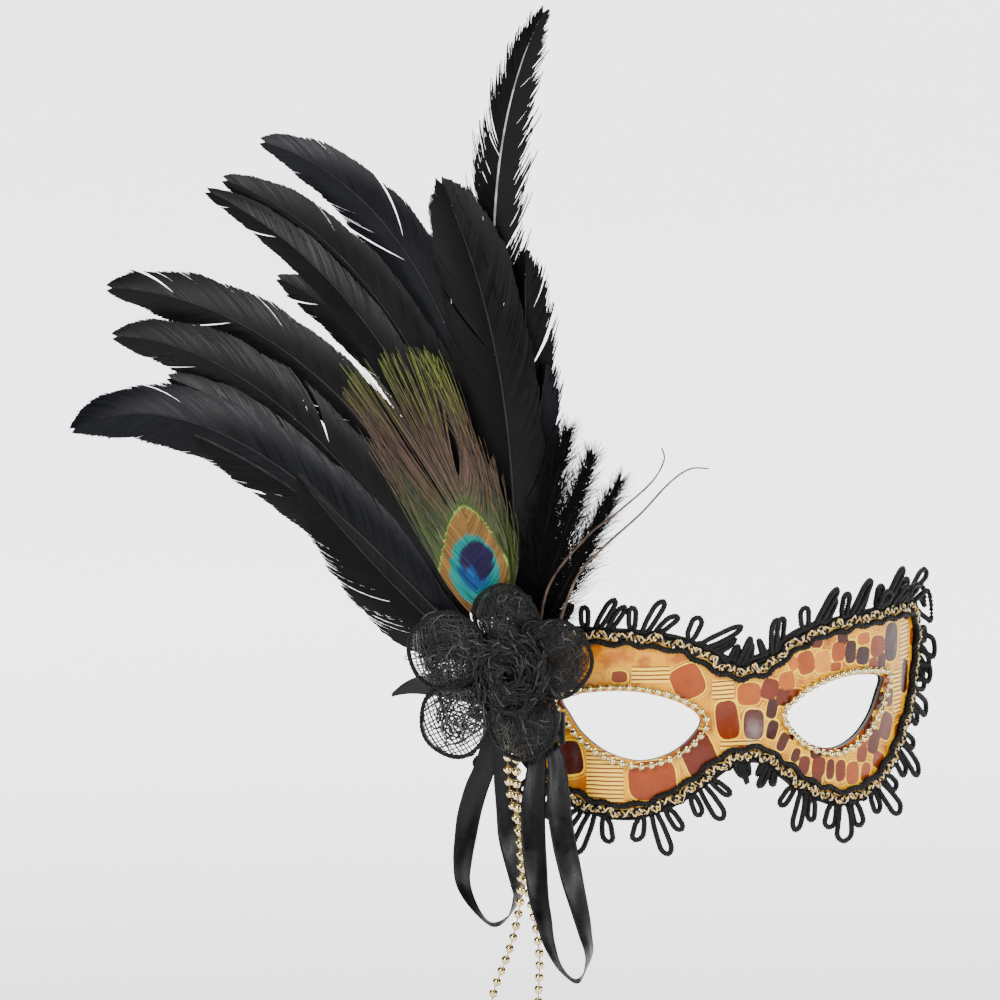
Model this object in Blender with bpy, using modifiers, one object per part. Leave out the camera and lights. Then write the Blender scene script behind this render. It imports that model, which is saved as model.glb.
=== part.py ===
"""Venetian half mask: a moulded eye mask with snakeskin vinyl, braid and looped fringe, and at one
temple a mesh flower, a fan of feathers, two ribbon loops and a hanging bead string.

The mask stands upright as it is worn. +Z is up, the front looks along -Y, and the origin is where
the bridge of the mask bears on the nose. The mask is bent round a vertical axis behind that point.
Lengths are metres; a distance along the bent mask is called s, and +s is the side without feathers.
"""

import math

import bmesh
import bpy
from mathutils import Vector

MM = 0.001
GAP = 0.3 * MM

# The bent mask: its layers from the face outwards
INNER_RADIUS = 98 * MM
LINING_THICK = 0.6 * MM
SHELL_THICK = 1.2 * MM
VINYL_THICK = 0.4 * MM
SHELL_LIFT = LINING_THICK + GAP
VINYL_LIFT = SHELL_LIFT + SHELL_THICK + GAP
FRONT_LIFT = VINYL_LIFT + VINYL_THICK
NOSE_PUSH = 2.5 * MM
NOSE_WIDTH = 11 * MM
NOSE_TOP = 2 * MM
NOSE_DROP = 15 * MM

# Half outlines in (s, z), in millimetres, mirrored to make the whole
VISIBLE_HALF = [
    (0, 9.5), (9.5, 11.5), (20.5, 18.4), (32, 21.6), (50, 23), (75, 23), (85.5, 21),
    (88, 16), (85, 4), (80.5, -6), (74, -14), (66, -22.5), (57, -28.5), (46, -32),
    (36, -31.5), (24.5, -26.5), (15, -19.5), (7, -14), (0, -12.8),
]
EYE = [
    (15.5, -3.8), (21, 1.6), (30, 5.2), (41, 7), (53, 6.4), (63.5, 4), (61, -2), (56, -9),
    (47.5, -15.2), (37, -18), (27, -15.8), (19.5, -10.5),
]
OUTLINE_STEPS = 3
CUT_OUTSET = 4.5 * MM

# The blank each layer is cut from: half its length in s, and its lower and upper edges
BLANK_HALF = 97 * MM
BLANK_LOW = -40 * MM
BLANK_HIGH = 31 * MM
BLANK_CELLS = (26, 5)

# Edge trims, measured outwards from the edge of the vinyl that shows
GIMP_RADIUS = 1.0 * MM
GIMP_OUTSET = 1.1 * MM
GIMP_POINTS = 80
BRAID_WIDTH = 3.6 * MM
BRAID_OUTSET = 4.2 * MM
BRAID_THICK = 0.8 * MM
BRAID_CELLS = 84
FRINGE_RADIUS = 0.95 * MM
FRINGE_OUTSET = 7.2 * MM
FRINGE_GROUPS = 25
FRINGE_PHASE = 0.82
FRINGE_STEPS = 1200
LONG_LOOP = 13.5 * MM
SHORT_LOOP = 7.5 * MM
LOOP_HALF_WIDTH = 1.4 * MM
SHORT_WIDTH_SCALE = 0.9
LOOP_BASE = 2.4 * MM
LOOP_SPREAD = math.radians(14)
NOSE_ZONE = 23 * MM
NOSE_SCALE = 0.42
NOSE_WIDTH_SCALE = 0.8

# Pearls round the eyes
PEARL_RADIUS = 1.3 * MM
PEARL_PITCH = 3.35 * MM
PEARL_OUTSET = 1.5 * MM
THREAD_RADIUS = 0.45 * MM

# The flower frame is tangent to the mask here: (a, z, c) are across, up and outwards
FLOWER_ANGLE = math.radians(-42)
CORE_PLACE = (-4 * MM, 8 * MM)
CORE_RADIUS = 7 * MM
PAD_BACK = 0.5 * MM
PAD_THICK = 4.2 * MM
PAD_RADIUS = 6.5 * MM
CORE_BACK = PAD_BACK + PAD_THICK + GAP
CORE_FRONT = 19.6 * MM
DISC_PLACE = (-4 * MM, 14 * MM)
DISC_RADIUS = 15 * MM
DISC_THICK = 1.2 * MM

# Feathers: name, tip (a, z) in mm, bend in degrees (+ to the left), how late it bends, width in mm
FEATHERS = [
    ("feather_top_hackle", (-2.6, 245), -34, 4, 19),
    ("feather_back_centre", (-6, 161), 4, 2, 19),
    ("feather_back_right", (3.5, 122), -2, 2, 13),
    ("feather_left_inner", (-98.5, 146), 60, 1.6, 20),
    ("feather_upper_second", (-121, 179), 64, 1.8, 20),
    ("feather_upper_left", (-107, 193), 74, 2.2, 23),
    ("feather_upper_slim", (-127, 175), 56, 1.6, 13),
    ("feather_left_high", (-163.5, 138.5), 68, 1.6, 23),
    ("feather_left_point", (-138.5, 109.5), 34, 1.6, 15),
    ("feather_left_middle", (-160, 122), 56, 2.6, 23),
    ("feather_low_inner", (-127.5, 90), 26, 2, 19),
    ("feather_left_low", (-174.5, 88), 74, 3, 24),
    ("feather_lowest", (-86, 79), -12, 1, 31),
    ("feather_centre", (-36, 185), 32, 1.6, 26),
]
TUFT = [
    ("tuft_hackle_left", (15, 100), 0, 2, 15),
    ("tuft_hackle_middle", (24.5, 92), 0, 2, 14),
    ("tuft_hackle_right", (35.5, 84), 0, 2, 12),
]
PEACOCK = ("peacock_feather", (-46, 124), 14, 2, 33)
FEATHER_PITCH = 0.7 * MM
FEATHER_THICK = 0.4 * MM
FEATHER_FIRST = CORE_BACK + 0.3 * MM
SWEEP_BACK = 2.5
CALAMUS_WIDTH = 1.6 * MM
QUILLS = [
    ("curved_quill_short", [(6, 20), (10, 45), (23, 63), (36, 74), (47, 84), (51.5, 92), (50.5, 96.5)]),
    ("curved_quill_long", [(9, 16), (20, 48), (29, 59.5), (43.5, 73), (53.5, 84), (61, 89.5), (68, 90)]),
]
QUILL_RADIUS = 0.3 * MM
QUILL_POINTS = 20
QUILL_TAPER = (1.5, 0.6)

# Flower: petal centres (a, z) and radii in mm
PETALS = [
    ("petal_top", (-3.5, 34.6), 11.8),
    ("petal_lower_left", (-22, -1.8), 12.4),
    ("petal_bottom", (3.5, -0.6), 13),
    ("petal_left", (-24.6, 22.8), 13.4),
    ("petal_right", (15.4, 22.2), 14),
]
PETAL_THICK = 0.5 * MM
PETAL_PITCH = 0.9 * MM
PETAL_FIRST = CORE_FRONT + GAP + DISC_THICK + 0.6 * MM
PETAL_CUP = 3.5 * MM
PETAL_REACH = 40 * MM
ROSE_PLACE = (1 * MM, 17 * MM)
ROSE_BACK = PETAL_FIRST + 5 * PETAL_PITCH + 0.5 * MM
ROSE_RINGS = [("rose_outer", 13.8, 12, 5.5), ("rose_middle", 9.6, 8, 7)]
ROSE_HEART = ("rose_heart", 5.6, 8.5)
HEART_ROUNDING = 2 * MM

# Hanging pieces: routes in (a, z) or (a, z, c), in mm, from the pin at the top round to it again
TAB_BACK = 9.2 * MM
TAB_THICK = 1.6 * MM
TAB_SIDES = (-16.5 * MM, 13.5 * MM)
TAB_TOP = CORE_PLACE[1] - CORE_RADIUS - GAP
TAB_DEEP = 11 * MM
LOOP_LEFT = [
    (-14.4, -8), (-16.9, -20), (-20, -28.3), (-22.5, -37), (-23.9, -45.6), (-24.9, -54), (-24.6, -62.4),
    (-20.4, -70.4), (-14.1, -76), (-8, -73), (-4.2, -65.4), (-4.4, -61), (-5.9, -52.8), (-7.3, -44.7),
    (-7.8, -36.2), (-8.5, -27.7), (-9.5, -19.3), (-11.8, -8),
]
LOOP_RIGHT = [
    (9.2, -8), (7.7, -15), (7.2, -32), (8.8, -49), (10.2, -62), (12.1, -70), (14.3, -78.5), (18.6, -86.8),
    (24.9, -90.6), (28.9, -82), (27.5, -73.5), (25.4, -65), (23.2, -57), (21.2, -48.5), (17.3, -32),
    (15.4, -15.5), (12.4, -8),
]
RIBBON_WIDTH = 10 * MM
RIBBON_THICK = 0.5 * MM
RIBBON_STACK = 1.4 * MM
RIBBON_CELLS = 34
# Down the loop, the ribbon turns edge on, opens out from its pinched top and moves to its own depth
RIBBON_TURN = math.radians(110)
RIBBON_TURN_POWER = 1.5
RIBBON_PINCH = 0.55
RIBBON_FULL = 0.85
RIBBON_OPEN_SHARE = 0.25
RIBBON_DEPTH_SHARE = 0.45
RIBBON_LEFT_DEPTHS = (7 * MM, 7.4 * MM)
RIBBON_RIGHT_DEPTHS = (20.6 * MM, 26.6 * MM)
BEAD_ROUTE = [
    (-5.4, -9, 15), (-5.6, -20, 15), (-4.4, -30, 15), (-1.8, -40, 15), (-0.8, -52, 15), (-0.9, -64, 15),
    (-2.9, -76, 15), (-6.6, -87.5, 15), (-10.8, -98.5, 15.2), (-11.2, -108, 15.8), (-6, -116, 16.6),
    (1.5, -115, 17.4), (6, -106, 18), (7, -95, 18.3), (7.1, -82, 18.3), (4.6, -68, 18.3), (1.9, -56, 18.3),
    (0.3, -43, 18.3), (-0.9, -31, 18.3), (-1.2, -20, 18.3), (-1.2, -9, 18.3),
]
BEAD_RADIUS = 1.6 * MM
BEAD_POINTS = 48
CRIMP_PLACE = (-3.3 * MM, -5.8 * MM)
CRIMP_FRONT = 19.6 * MM
CRIMP_RADIUS = 2 * MM
KNOT_RADIUS = 2.4 * MM
KNOT_HEIGHT = 1.5 * MM
KNOT_LEFT = -13 * MM
KNOT_RIGHT = 10.4 * MM
PIN_HEIGHT = -8 * MM

# Tie ribbons at the temples
TIE_START = 86 * MM
TIE_LENGTH = 43 * MM
TIE_WIDTH = 10 * MM
TIE_RISE = 2.4 * MM
TIE_DROP = 4.8 * MM
TIE_CURL = 4 * MM
TIE_CURL_START = 0.6
TIE_TAPER = 0.4
TIP_TAPER = 0.8
RIGHT_TIE_TURN = math.radians(16)
TIE_HEIGHT = 2.5 * MM
TIE_RADIUS = 96.4 * MM
PATCH_SIZE = (9 * MM, 1.2 * MM, 15 * MM)
PATCH_S = 80 * MM
PATCH_INSET = 0.9 * MM

BLACK = (0.012, 0.012, 0.014)
SATIN = (0.02, 0.02, 0.023)
GOLD = (0.83, 0.68, 0.36)


# Frames and curves


def on_mask(s, z, lift):
    """A point on the bent mask, lift outside its inner face, with the pushed-out nose."""
    angle = s / INNER_RADIUS
    radius = INNER_RADIUS + lift
    low = min(max((NOSE_TOP - z) / NOSE_DROP, 0), 1)
    push = NOSE_PUSH * math.exp(-((s / NOSE_WIDTH) ** 2)) * low * low
    return Vector((radius * math.sin(angle), INNER_RADIUS - radius * math.cos(angle) - push, z))


OUTWARD = Vector((math.sin(FLOWER_ANGLE), -math.cos(FLOWER_ANGLE), 0))
ACROSS = Vector((math.cos(FLOWER_ANGLE), math.sin(FLOWER_ANGLE), 0))
FLOWER_ORIGIN = Vector((0, INNER_RADIUS, 0)) + OUTWARD * (INNER_RADIUS + FRONT_LIFT)


def on_flower(a, z, c):
    """A point in the flower frame: a across to the right, z up, c out of the mask's front."""
    return FLOWER_ORIGIN + ACROSS * a + OUTWARD * c + Vector((0, 0, z))


def smooth_route(points, steps, closed=False):
    """A Catmull-Rom curve through points, with steps pieces between each two."""
    points = [Vector(p) for p in points]
    count = len(points)
    spans = count if closed else count - 1
    route = []
    for i in range(spans):
        if closed:
            p0, p1, p2, p3 = (points[(i + k) % count] for k in (-1, 0, 1, 2))
        else:
            p0, p1, p2, p3 = (points[min(max(i + k, 0), count - 1)] for k in (-1, 0, 1, 2))
        for k in range(steps):
            t = k / steps
            route.append(0.5 * (2 * p1 + (p2 - p0) * t + (2 * p0 - 5 * p1 + 4 * p2 - p3) * t * t
                                + (3 * p1 - p0 - 3 * p2 + p3) * t ** 3))
    if not closed:
        route.append(points[-1])
    return route


def lengths(route):
    """The distance along the route at each of its points."""
    along = [0.0]
    for p, q in zip(route, route[1:]):
        along.append(along[-1] + (q - p).length)
    return along


def evenly(route, count, closed=False):
    """count points at equal distances along the route."""
    if closed:
        route = route + route[:1]
    along = lengths(route)
    wanted = [along[-1] * k / (count if closed else count - 1) for k in range(count)]
    points, i = [], 0
    for d in wanted:
        while i < len(along) - 2 and along[i + 1] < d:
            i += 1
        points.append(route[i].lerp(route[i + 1], (d - along[i]) / (along[i + 1] - along[i])))
    return points


def outline(outset, count=0):
    """The closed mask outline in (s, z), outset outwards from the edge of the vinyl that shows."""
    half = [(s * MM, z * MM) for s, z in VISIBLE_HALF]
    whole = half + [(-s, z) for s, z in half[-2:0:-1]]
    route = smooth_route(whole, OUTLINE_STEPS, closed=True)
    return pushed_out(evenly(route, count, closed=True) if count else route, outset)


def eye_outline(side, outset, count=0):
    """The closed outline of one eye hole in (s, z)."""
    route = smooth_route([(s * MM * side, z * MM) for s, z in EYE[::side]], OUTLINE_STEPS, closed=True)
    return pushed_out(evenly(route, count, closed=True) if count else route, outset)


def pushed_out(route, outset):
    """A closed clockwise route moved outwards along its own normals."""
    count = len(route)
    moved = []
    for i, p in enumerate(route):
        along = (route[(i + 1) % count] - route[i - 1]).normalized()
        moved.append(p + Vector((-along.y, along.x)) * outset)
    return moved


# Object makers


def material(name, colour, roughness, metallic=0.0):
    made = bpy.data.materials.get(name) or bpy.data.materials.new(name)
    made.use_nodes = True
    shader = made.node_tree.nodes["Principled BSDF"]
    shader.inputs["Base Color"].default_value = (*colour, 1)
    shader.inputs["Roughness"].default_value = roughness
    shader.inputs["Metallic"].default_value = metallic
    return made


def add_object(name, data, finish, collection):
    made = bpy.data.objects.new(name, data)
    if finish:
        data.materials.append(finish)
    collection.objects.link(made)
    return made


def add_sheet(name, across, along, place, thick, finish, closed=False):
    """A thin shell: a grid whose points place(p, q) puts, with p and q from 0 to 1, made solid."""
    mesh = bpy.data.meshes.new(name)
    grid = bmesh.new()
    bmesh.ops.create_grid(grid, x_segments=across, y_segments=along, size=0.5)
    for vertex in grid.verts:
        vertex.co = place(vertex.co.x + 0.5, vertex.co.y + 0.5)
    if closed:
        bmesh.ops.remove_doubles(grid, verts=grid.verts, dist=0.01 * MM)
    bmesh.ops.recalc_face_normals(grid, faces=grid.faces)
    grid.to_mesh(mesh)
    grid.free()
    mesh.shade_smooth()
    made = add_object(name, mesh, finish, parts)
    solid = made.modifiers.new("thickness", "SOLIDIFY")
    solid.thickness = thick
    solid.offset = 0
    solid.use_even_offset = True
    return made


def add_tube(name, points, radius, finish, closed=False, resolution=2, radii=None):
    """A round cord along points."""
    curve = bpy.data.curves.new(name, "CURVE")
    curve.dimensions = "3D"
    curve.bevel_depth = radius
    curve.bevel_resolution = resolution
    curve.use_fill_caps = not closed
    spline = curve.splines.new("POLY")
    spline.points.add(len(points) - 1)
    for i, point in enumerate(points):
        spline.points[i].co = (*point, 1)
        spline.points[i].radius = radii[i] if radii else 1
    spline.use_cyclic_u = closed
    spline.use_smooth = True
    return add_object(name, curve, finish, parts)


def add_cylinder(name, place, radius, back, front, finish, sides=32):
    """A round piece whose axis points out of the mask, between two depths of the flower frame."""
    mesh = bpy.data.meshes.new(name)
    solid = bmesh.new()
    bmesh.ops.create_cone(solid, cap_ends=True, segments=sides, radius1=radius, radius2=radius,
                          depth=front - back)
    solid.to_mesh(mesh)
    solid.free()
    mesh.shade_smooth()
    mesh.set_sharp_from_angle(angle=math.radians(40))
    made = add_object(name, mesh, finish, parts)
    made.location = on_flower(*place, (back + front) / 2)
    made.rotation_euler = OUTWARD.to_track_quat("Z", "Y").to_euler()
    return made


def add_box(name, centre, size, turn, finish):
    """A box turned about the vertical."""
    mesh = bpy.data.meshes.new(name)
    solid = bmesh.new()
    bmesh.ops.create_cube(solid, size=1)
    bmesh.ops.scale(solid, vec=size, verts=solid.verts)
    solid.to_mesh(mesh)
    solid.free()
    made = add_object(name, mesh, finish, parts)
    made.location = centre
    made.rotation_euler = (0, 0, turn)
    return made


def add_cutter(name, route):
    """A prism along Y whose section is the route's front view."""
    curve = bpy.data.curves.new(name, "CURVE")
    curve.dimensions = "2D"
    curve.fill_mode = "BOTH"
    curve.extrude = 90 * MM
    spline = curve.splines.new("POLY")
    spline.points.add(len(route) - 1)
    for i, (s, z) in enumerate(route):
        spline.points[i].co = (on_mask(s, z, SHELL_LIFT).x, z, 0, 1)
    spline.use_cyclic_u = True
    flat = bpy.data.objects.new(name + "_curve", curve)
    flat.rotation_euler = (math.pi / 2, 0, 0)
    cutters.objects.link(flat)
    evaluated = flat.evaluated_get(bpy.context.evaluated_depsgraph_get())
    mesh = bpy.data.meshes.new_from_object(evaluated)
    solid = bmesh.new()
    solid.from_mesh(mesh)
    bmesh.ops.remove_doubles(solid, verts=solid.verts, dist=0.01 * MM)
    bmesh.ops.recalc_face_normals(solid, faces=solid.faces)
    solid.to_mesh(mesh)
    solid.free()
    cutter = bpy.data.objects.new(name, mesh)
    cutter.matrix_world = flat.matrix_world
    bpy.data.objects.remove(flat)
    cutters.objects.link(cutter)
    cutter.hide_render = True
    cutter.display_type = "WIRE"
    return cutter


def cut(piece, cutter, operation):
    boolean = piece.modifiers.new(cutter.name, "BOOLEAN")
    boolean.operation = operation
    boolean.object = cutter


# The mask


def build_mask():
    edge = add_cutter("cut_outline", outline(CUT_OUTSET))
    eyes = [add_cutter("cut_eye_left", eye_outline(-1, 0)), add_cutter("cut_eye_right", eye_outline(1, 0))]
    layers = [
        ("mask_shell", SHELL_LIFT, SHELL_THICK, material("moulded_board", (0.1, 0.09, 0.08), 0.7)),
        ("face_lining", 0, LINING_THICK, material("black_lining", BLACK, 0.9)),
        ("snakeskin_vinyl", VINYL_LIFT, VINYL_THICK, material("vinyl", (0.72, 0.42, 0.18), 0.25)),
    ]
    for name, lift, thick, finish in layers:
        middle = lift + thick / 2
        layer = add_sheet(name, *BLANK_CELLS, lambda p, q: on_mask(
            (2 * p - 1) * BLANK_HALF, BLANK_LOW + (BLANK_HIGH - BLANK_LOW) * q, middle), thick, finish)
        cut(layer, edge, "INTERSECT")
        for eye in eyes:
            cut(layer, eye, "DIFFERENCE")


def build_edge_trims():
    black_cord = material("black_gimp", BLACK, 0.6)
    inner = [on_mask(s, z, FRONT_LIFT + GAP + GIMP_RADIUS) for s, z in outline(GIMP_OUTSET, GIMP_POINTS)]
    add_tube("gimp_cord", inner, GIMP_RADIUS, black_cord, closed=True, resolution=1)
    middle = FRONT_LIFT + GAP + BRAID_THICK / 2
    edges = [outline(BRAID_OUTSET + side * BRAID_WIDTH / 2, BRAID_CELLS) for side in (-1, 1)]

    def on_braid(p, q):
        i = round(p * BRAID_CELLS) % BRAID_CELLS
        s, z = edges[0][i].lerp(edges[1][i], q)
        return on_mask(s, z, middle)

    lurex = material("lurex_braid", GOLD, 0.35, 0.8)
    add_sheet("gold_braid", BRAID_CELLS, 1, on_braid, BRAID_THICK, lurex, closed=True)
    fringe = [on_mask(s, z, FRONT_LIFT + GAP + FRINGE_RADIUS) for s, z in fringe_route()]
    add_tube("loop_fringe", fringe, FRINGE_RADIUS, black_cord, closed=True, resolution=0)


def loop_points(length, half_width):
    """One cord loop in (along, out), from its left foot round to its right foot."""
    right = [(half_width, 0), (half_width, length * 0.3), (half_width, length * 0.85)]
    left = [(-x, y) for x, y in right]
    return [*left, (0, length), *right[::-1]]


def fringe_route():
    """The fringe is one cord: along the edge it swings out into groups of three loops."""
    base = outline(FRINGE_OUTSET)
    around = lengths(base + base[:1])[-1]
    pitch = around / FRINGE_GROUPS
    fine = evenly(base, FRINGE_STEPS, closed=True)
    route = []
    for group in range(FRINGE_GROUPS):
        for place in (-1, 0, 1):
            at = (group + FRINGE_PHASE) * pitch + place * 2 * LOOP_BASE
            i = round(at / around * len(fine)) % len(fine)
            along = (fine[(i + 2) % len(fine)] - fine[i - 2]).normalized()
            out = Vector((-along.y, along.x))
            near_nose = abs(fine[i].x) < NOSE_ZONE
            scale = NOSE_SCALE if near_nose else 1
            length = scale * (SHORT_LOOP if place else LONG_LOOP)
            width = LOOP_HALF_WIDTH * (SHORT_WIDTH_SCALE if place else 1)
            width *= NOSE_WIDTH_SCALE if near_nose else 1
            lean = 0 if near_nose else place * LOOP_SPREAD
            for x, y in loop_points(length, width):
                tilt = lean * min(1, y / length * 2)
                across = x + y * math.sin(tilt)
                route.append(fine[i] + along * across + out * y * math.cos(tilt))
    return route


def build_pearls():
    finish = material("gold_pearls", GOLD, 0.3, 0.6)
    for name, side in (("left", -1), ("right", 1)):
        route = eye_outline(side, PEARL_OUTSET)
        around = lengths(route + route[:1])[-1]
        count = round(around / PEARL_PITCH)
        points = evenly(route, 2 * count, closed=True)
        lift = FRONT_LIFT + GAP + PEARL_RADIUS
        places = [on_mask(s, z, lift) for s, z in points]
        radii = [1, THREAD_RADIUS / PEARL_RADIUS] * count
        add_tube(f"eye_pearls_{name}", places, PEARL_RADIUS, finish, closed=True, resolution=1, radii=radii)


def build_ties():
    """A satin tie leaves each temple behind the lining, held by a glued felt patch."""
    felt = material("felt", (0.02, 0.02, 0.02), 0.95)
    satin = material("satin_ribbon", SATIN, 0.35)
    for name, side in (("left", -1), ("right", 1)):
        turn = side * PATCH_S / INNER_RADIUS
        radius = TIE_RADIUS - PATCH_SIZE[1] / 2 + PATCH_INSET
        place = Vector((radius * math.sin(turn), INNER_RADIUS - radius * math.cos(turn), TIE_HEIGHT))
        add_box(f"tie_patch_{name}", place, PATCH_SIZE, turn, felt)
        start = side * TIE_START / INNER_RADIUS
        heading = start if side < 0 else start + RIGHT_TIE_TURN
        root = Vector((TIE_RADIUS * math.sin(start), INNER_RADIUS - TIE_RADIUS * math.cos(start), TIE_HEIGHT))
        away = Vector((side * math.cos(heading), side * math.sin(heading), 0))
        inward = Vector((-math.sin(heading), math.cos(heading), 0))

        def on_tie(p, q):
            end = max(0, (q - TIE_CURL_START) / (1 - TIE_CURL_START))
            curl = TIE_CURL * end * end
            height = (p - 0.5) * TIE_WIDTH * (1 - TIE_TAPER * q) * (1 - TIP_TAPER * end ** 3)
            height += TIE_RISE * q - TIE_DROP * end ** 3
            return root + away * TIE_LENGTH * q - inward * curl + Vector((0, 0, height))

        add_sheet(f"tie_ribbon_{name}", 1, 10, on_tie, RIBBON_THICK, satin)


# Feathers


def feather_axis(tip, bend, late, steps=40):
    """The shaft in (a, z): it leaves the core's rim and turns more and more towards its tip."""
    core = Vector(CORE_PLACE)
    tip = Vector(tip) * MM
    toward = (tip - core).normalized()
    shape, heading = [Vector((0, 0))], 0
    for k in range(steps):
        heading = math.radians(bend) * ((k + 0.5) / steps) ** late
        shape.append(shape[-1] + Vector((-math.sin(heading), math.cos(heading))))
    start_turn = toward.angle_signed(Vector((0, 1))) - shape[-1].angle_signed(Vector((0, 1)))
    root = core + Vector((-math.sin(start_turn), math.cos(start_turn))) * (CORE_RADIUS + 2 * GAP)
    chord = tip - root
    size = chord.length / shape[-1].length
    turn = chord.angle_signed(Vector((0, 1))) - shape[-1].angle_signed(Vector((0, 1)))
    cos, sin = math.cos(turn), math.sin(turn)
    return [root + Vector((p.x * cos - p.y * sin, p.x * sin + p.y * cos)) * size for p in shape]


def vane_width(q, bare, blunt):
    """The share of its full width that a vane has at q along the shaft."""
    if q < bare:
        return 0
    t = (q - bare) / (1 - bare)
    return min(1, (t / 0.3) ** 0.7) * (1 - t ** blunt) ** 0.6


def swept(a, z, depth):
    """The fan bends back a little towards the feather tips."""
    reach = math.hypot(a - CORE_PLACE[0], z - CORE_PLACE[1])
    return on_flower(a, z, depth - reach * reach / SWEEP_BACK)


def add_feather(name, tip, bend, late, width, depth, finish, bare=0.1, blunt=7):
    axis = feather_axis(tip, bend, late)
    last = len(axis) - 1

    def on_vane(p, q):
        at = q * last
        i = min(int(at), last - 1)
        point = axis[i].lerp(axis[i + 1], at - i)
        along = (axis[i + 1] - axis[i]).normalized()
        half = max(CALAMUS_WIDTH, width * MM * vane_width(q, bare, blunt)) / 2
        half = min(half, CALAMUS_WIDTH / 2 + (width * MM) * (1 - q) * 2)
        side = Vector((along.y, -along.x)) * half * (2 * p - 1)
        return swept(point.x + side.x, point.y + side.y, depth)

    add_sheet(name, 2, 14, on_vane, FEATHER_THICK, finish)


def build_feathers():
    black = material("black_feather", BLACK, 0.45)
    depth = FEATHER_FIRST
    for name, tip, bend, late, width in FEATHERS:
        add_feather(name, tip, bend, late, width, depth, black)
        depth += FEATHER_PITCH
    for name, tip, bend, late, width in TUFT:
        add_feather(name, tip, bend, late, width, depth, black)
        depth += FEATHER_PITCH
    name, tip, bend, late, width = PEACOCK
    add_feather(name, tip, bend, late, width, depth, material("peacock", (0.12, 0.16, 0.05), 0.5), blunt=9)
    for name, points in QUILLS:
        depth += FEATHER_PITCH
        route = evenly(smooth_route([(a * MM, z * MM) for a, z in points], 4), QUILL_POINTS)
        foot, tip = QUILL_TAPER
        radii = [foot + (tip - foot) * k / (QUILL_POINTS - 1) for k in range(QUILL_POINTS)]
        add_tube(name, [swept(a, z, depth) for a, z in route], QUILL_RADIUS,
                 material("brown_quill", (0.1, 0.06, 0.04), 0.5), resolution=1, radii=radii)


# Flower


def build_flower():
    felt = material("felt", (0.02, 0.02, 0.02), 0.95)
    mesh_cloth = material("black_mesh", BLACK, 0.8)
    add_cylinder("glue_pad", CORE_PLACE, PAD_RADIUS, PAD_BACK, PAD_BACK + PAD_THICK, felt)
    add_cylinder("quill_core", CORE_PLACE, CORE_RADIUS, CORE_BACK, CORE_FRONT, felt)
    front = CORE_FRONT + GAP
    add_cylinder("flower_disc", DISC_PLACE, DISC_RADIUS, front, front + DISC_THICK, felt)
    for i, (name, place, radius) in enumerate(PETALS):
        add_petal(name, place, radius * MM, PETAL_FIRST + i * PETAL_PITCH, mesh_cloth)
    for name, outer, inner, height in ROSE_RINGS:
        add_ring(name, inner * MM, outer * MM, height * MM, mesh_cloth)
    name, radius, height = ROSE_HEART
    heart = add_cylinder(name, ROSE_PLACE, radius * MM, ROSE_BACK, ROSE_BACK + height * MM, mesh_cloth, 24)
    bevel = heart.modifiers.new("rounded", "BEVEL")
    bevel.width = HEART_ROUNDING
    bevel.segments = 2


def add_petal(name, place, radius, depth, finish):
    """A round petal on a dish that rises towards its rim."""
    centre = Vector(place) * MM

    def on_petal(p, q):
        x, y = 2 * p - 1, 2 * q - 1
        a = centre.x + radius * x * math.sqrt(1 - y * y / 2)
        z = centre.y + radius * y * math.sqrt(1 - x * x / 2)
        reach = math.hypot(a - DISC_PLACE[0], z - DISC_PLACE[1]) / PETAL_REACH
        return on_flower(a, z, depth + PETAL_CUP * reach * reach)

    add_sheet(name, 5, 5, on_petal, PETAL_THICK, finish)


def add_ring(name, inner, outer, height, finish):
    """A turned ring, the plain form of one roll of the rose."""
    mesh = bpy.data.meshes.new(name)
    profile = [(outer, height), (outer, 0), (inner, 0), (inner, height)]
    mesh.from_pydata([(x, 0, z) for x, z in profile], [(0, 1), (1, 2), (2, 3), (3, 0)], [])
    ring = add_object(name, mesh, finish, parts)
    ring.location = on_flower(*ROSE_PLACE, ROSE_BACK)
    ring.rotation_euler = OUTWARD.to_track_quat("Z", "Y").to_euler()
    screw = ring.modifiers.new("turned", "SCREW")
    screw.steps = 28
    screw.render_steps = 28
    screw.use_merge_vertices = True
    screw.merge_threshold = 0.01 * MM


# Hanging pieces


def add_ribbon_loop(name, points, depths, finish):
    """A ribbon that faces forward at the top and has turned edge on at the bottom of its loop."""
    route = evenly(smooth_route([(a * MM, z * MM) for a, z in points], 4), RIBBON_CELLS + 1)
    low = min(p.y for p in route)

    def on_ribbon(p, q):
        point = route[round(q * RIBBON_CELLS)]
        down = (PIN_HEIGHT - point.y) / (PIN_HEIGHT - low)
        turn = -RIBBON_TURN * max(0, down) ** RIBBON_TURN_POWER
        gather = RIBBON_PINCH + (RIBBON_FULL - RIBBON_PINCH) * min(1, down / RIBBON_OPEN_SHARE)
        half = RIBBON_WIDTH * gather / 2 * (2 * p - 1)
        a = point.x + half * math.cos(turn)
        depth = depths[0] + (depths[1] - depths[0]) * min(1, down / RIBBON_DEPTH_SHARE) + RIBBON_STACK * q
        return on_flower(a, point.y, depth + half * math.sin(turn))

    return add_sheet(name, 1, RIBBON_CELLS, on_ribbon, RIBBON_THICK, finish)


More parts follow.
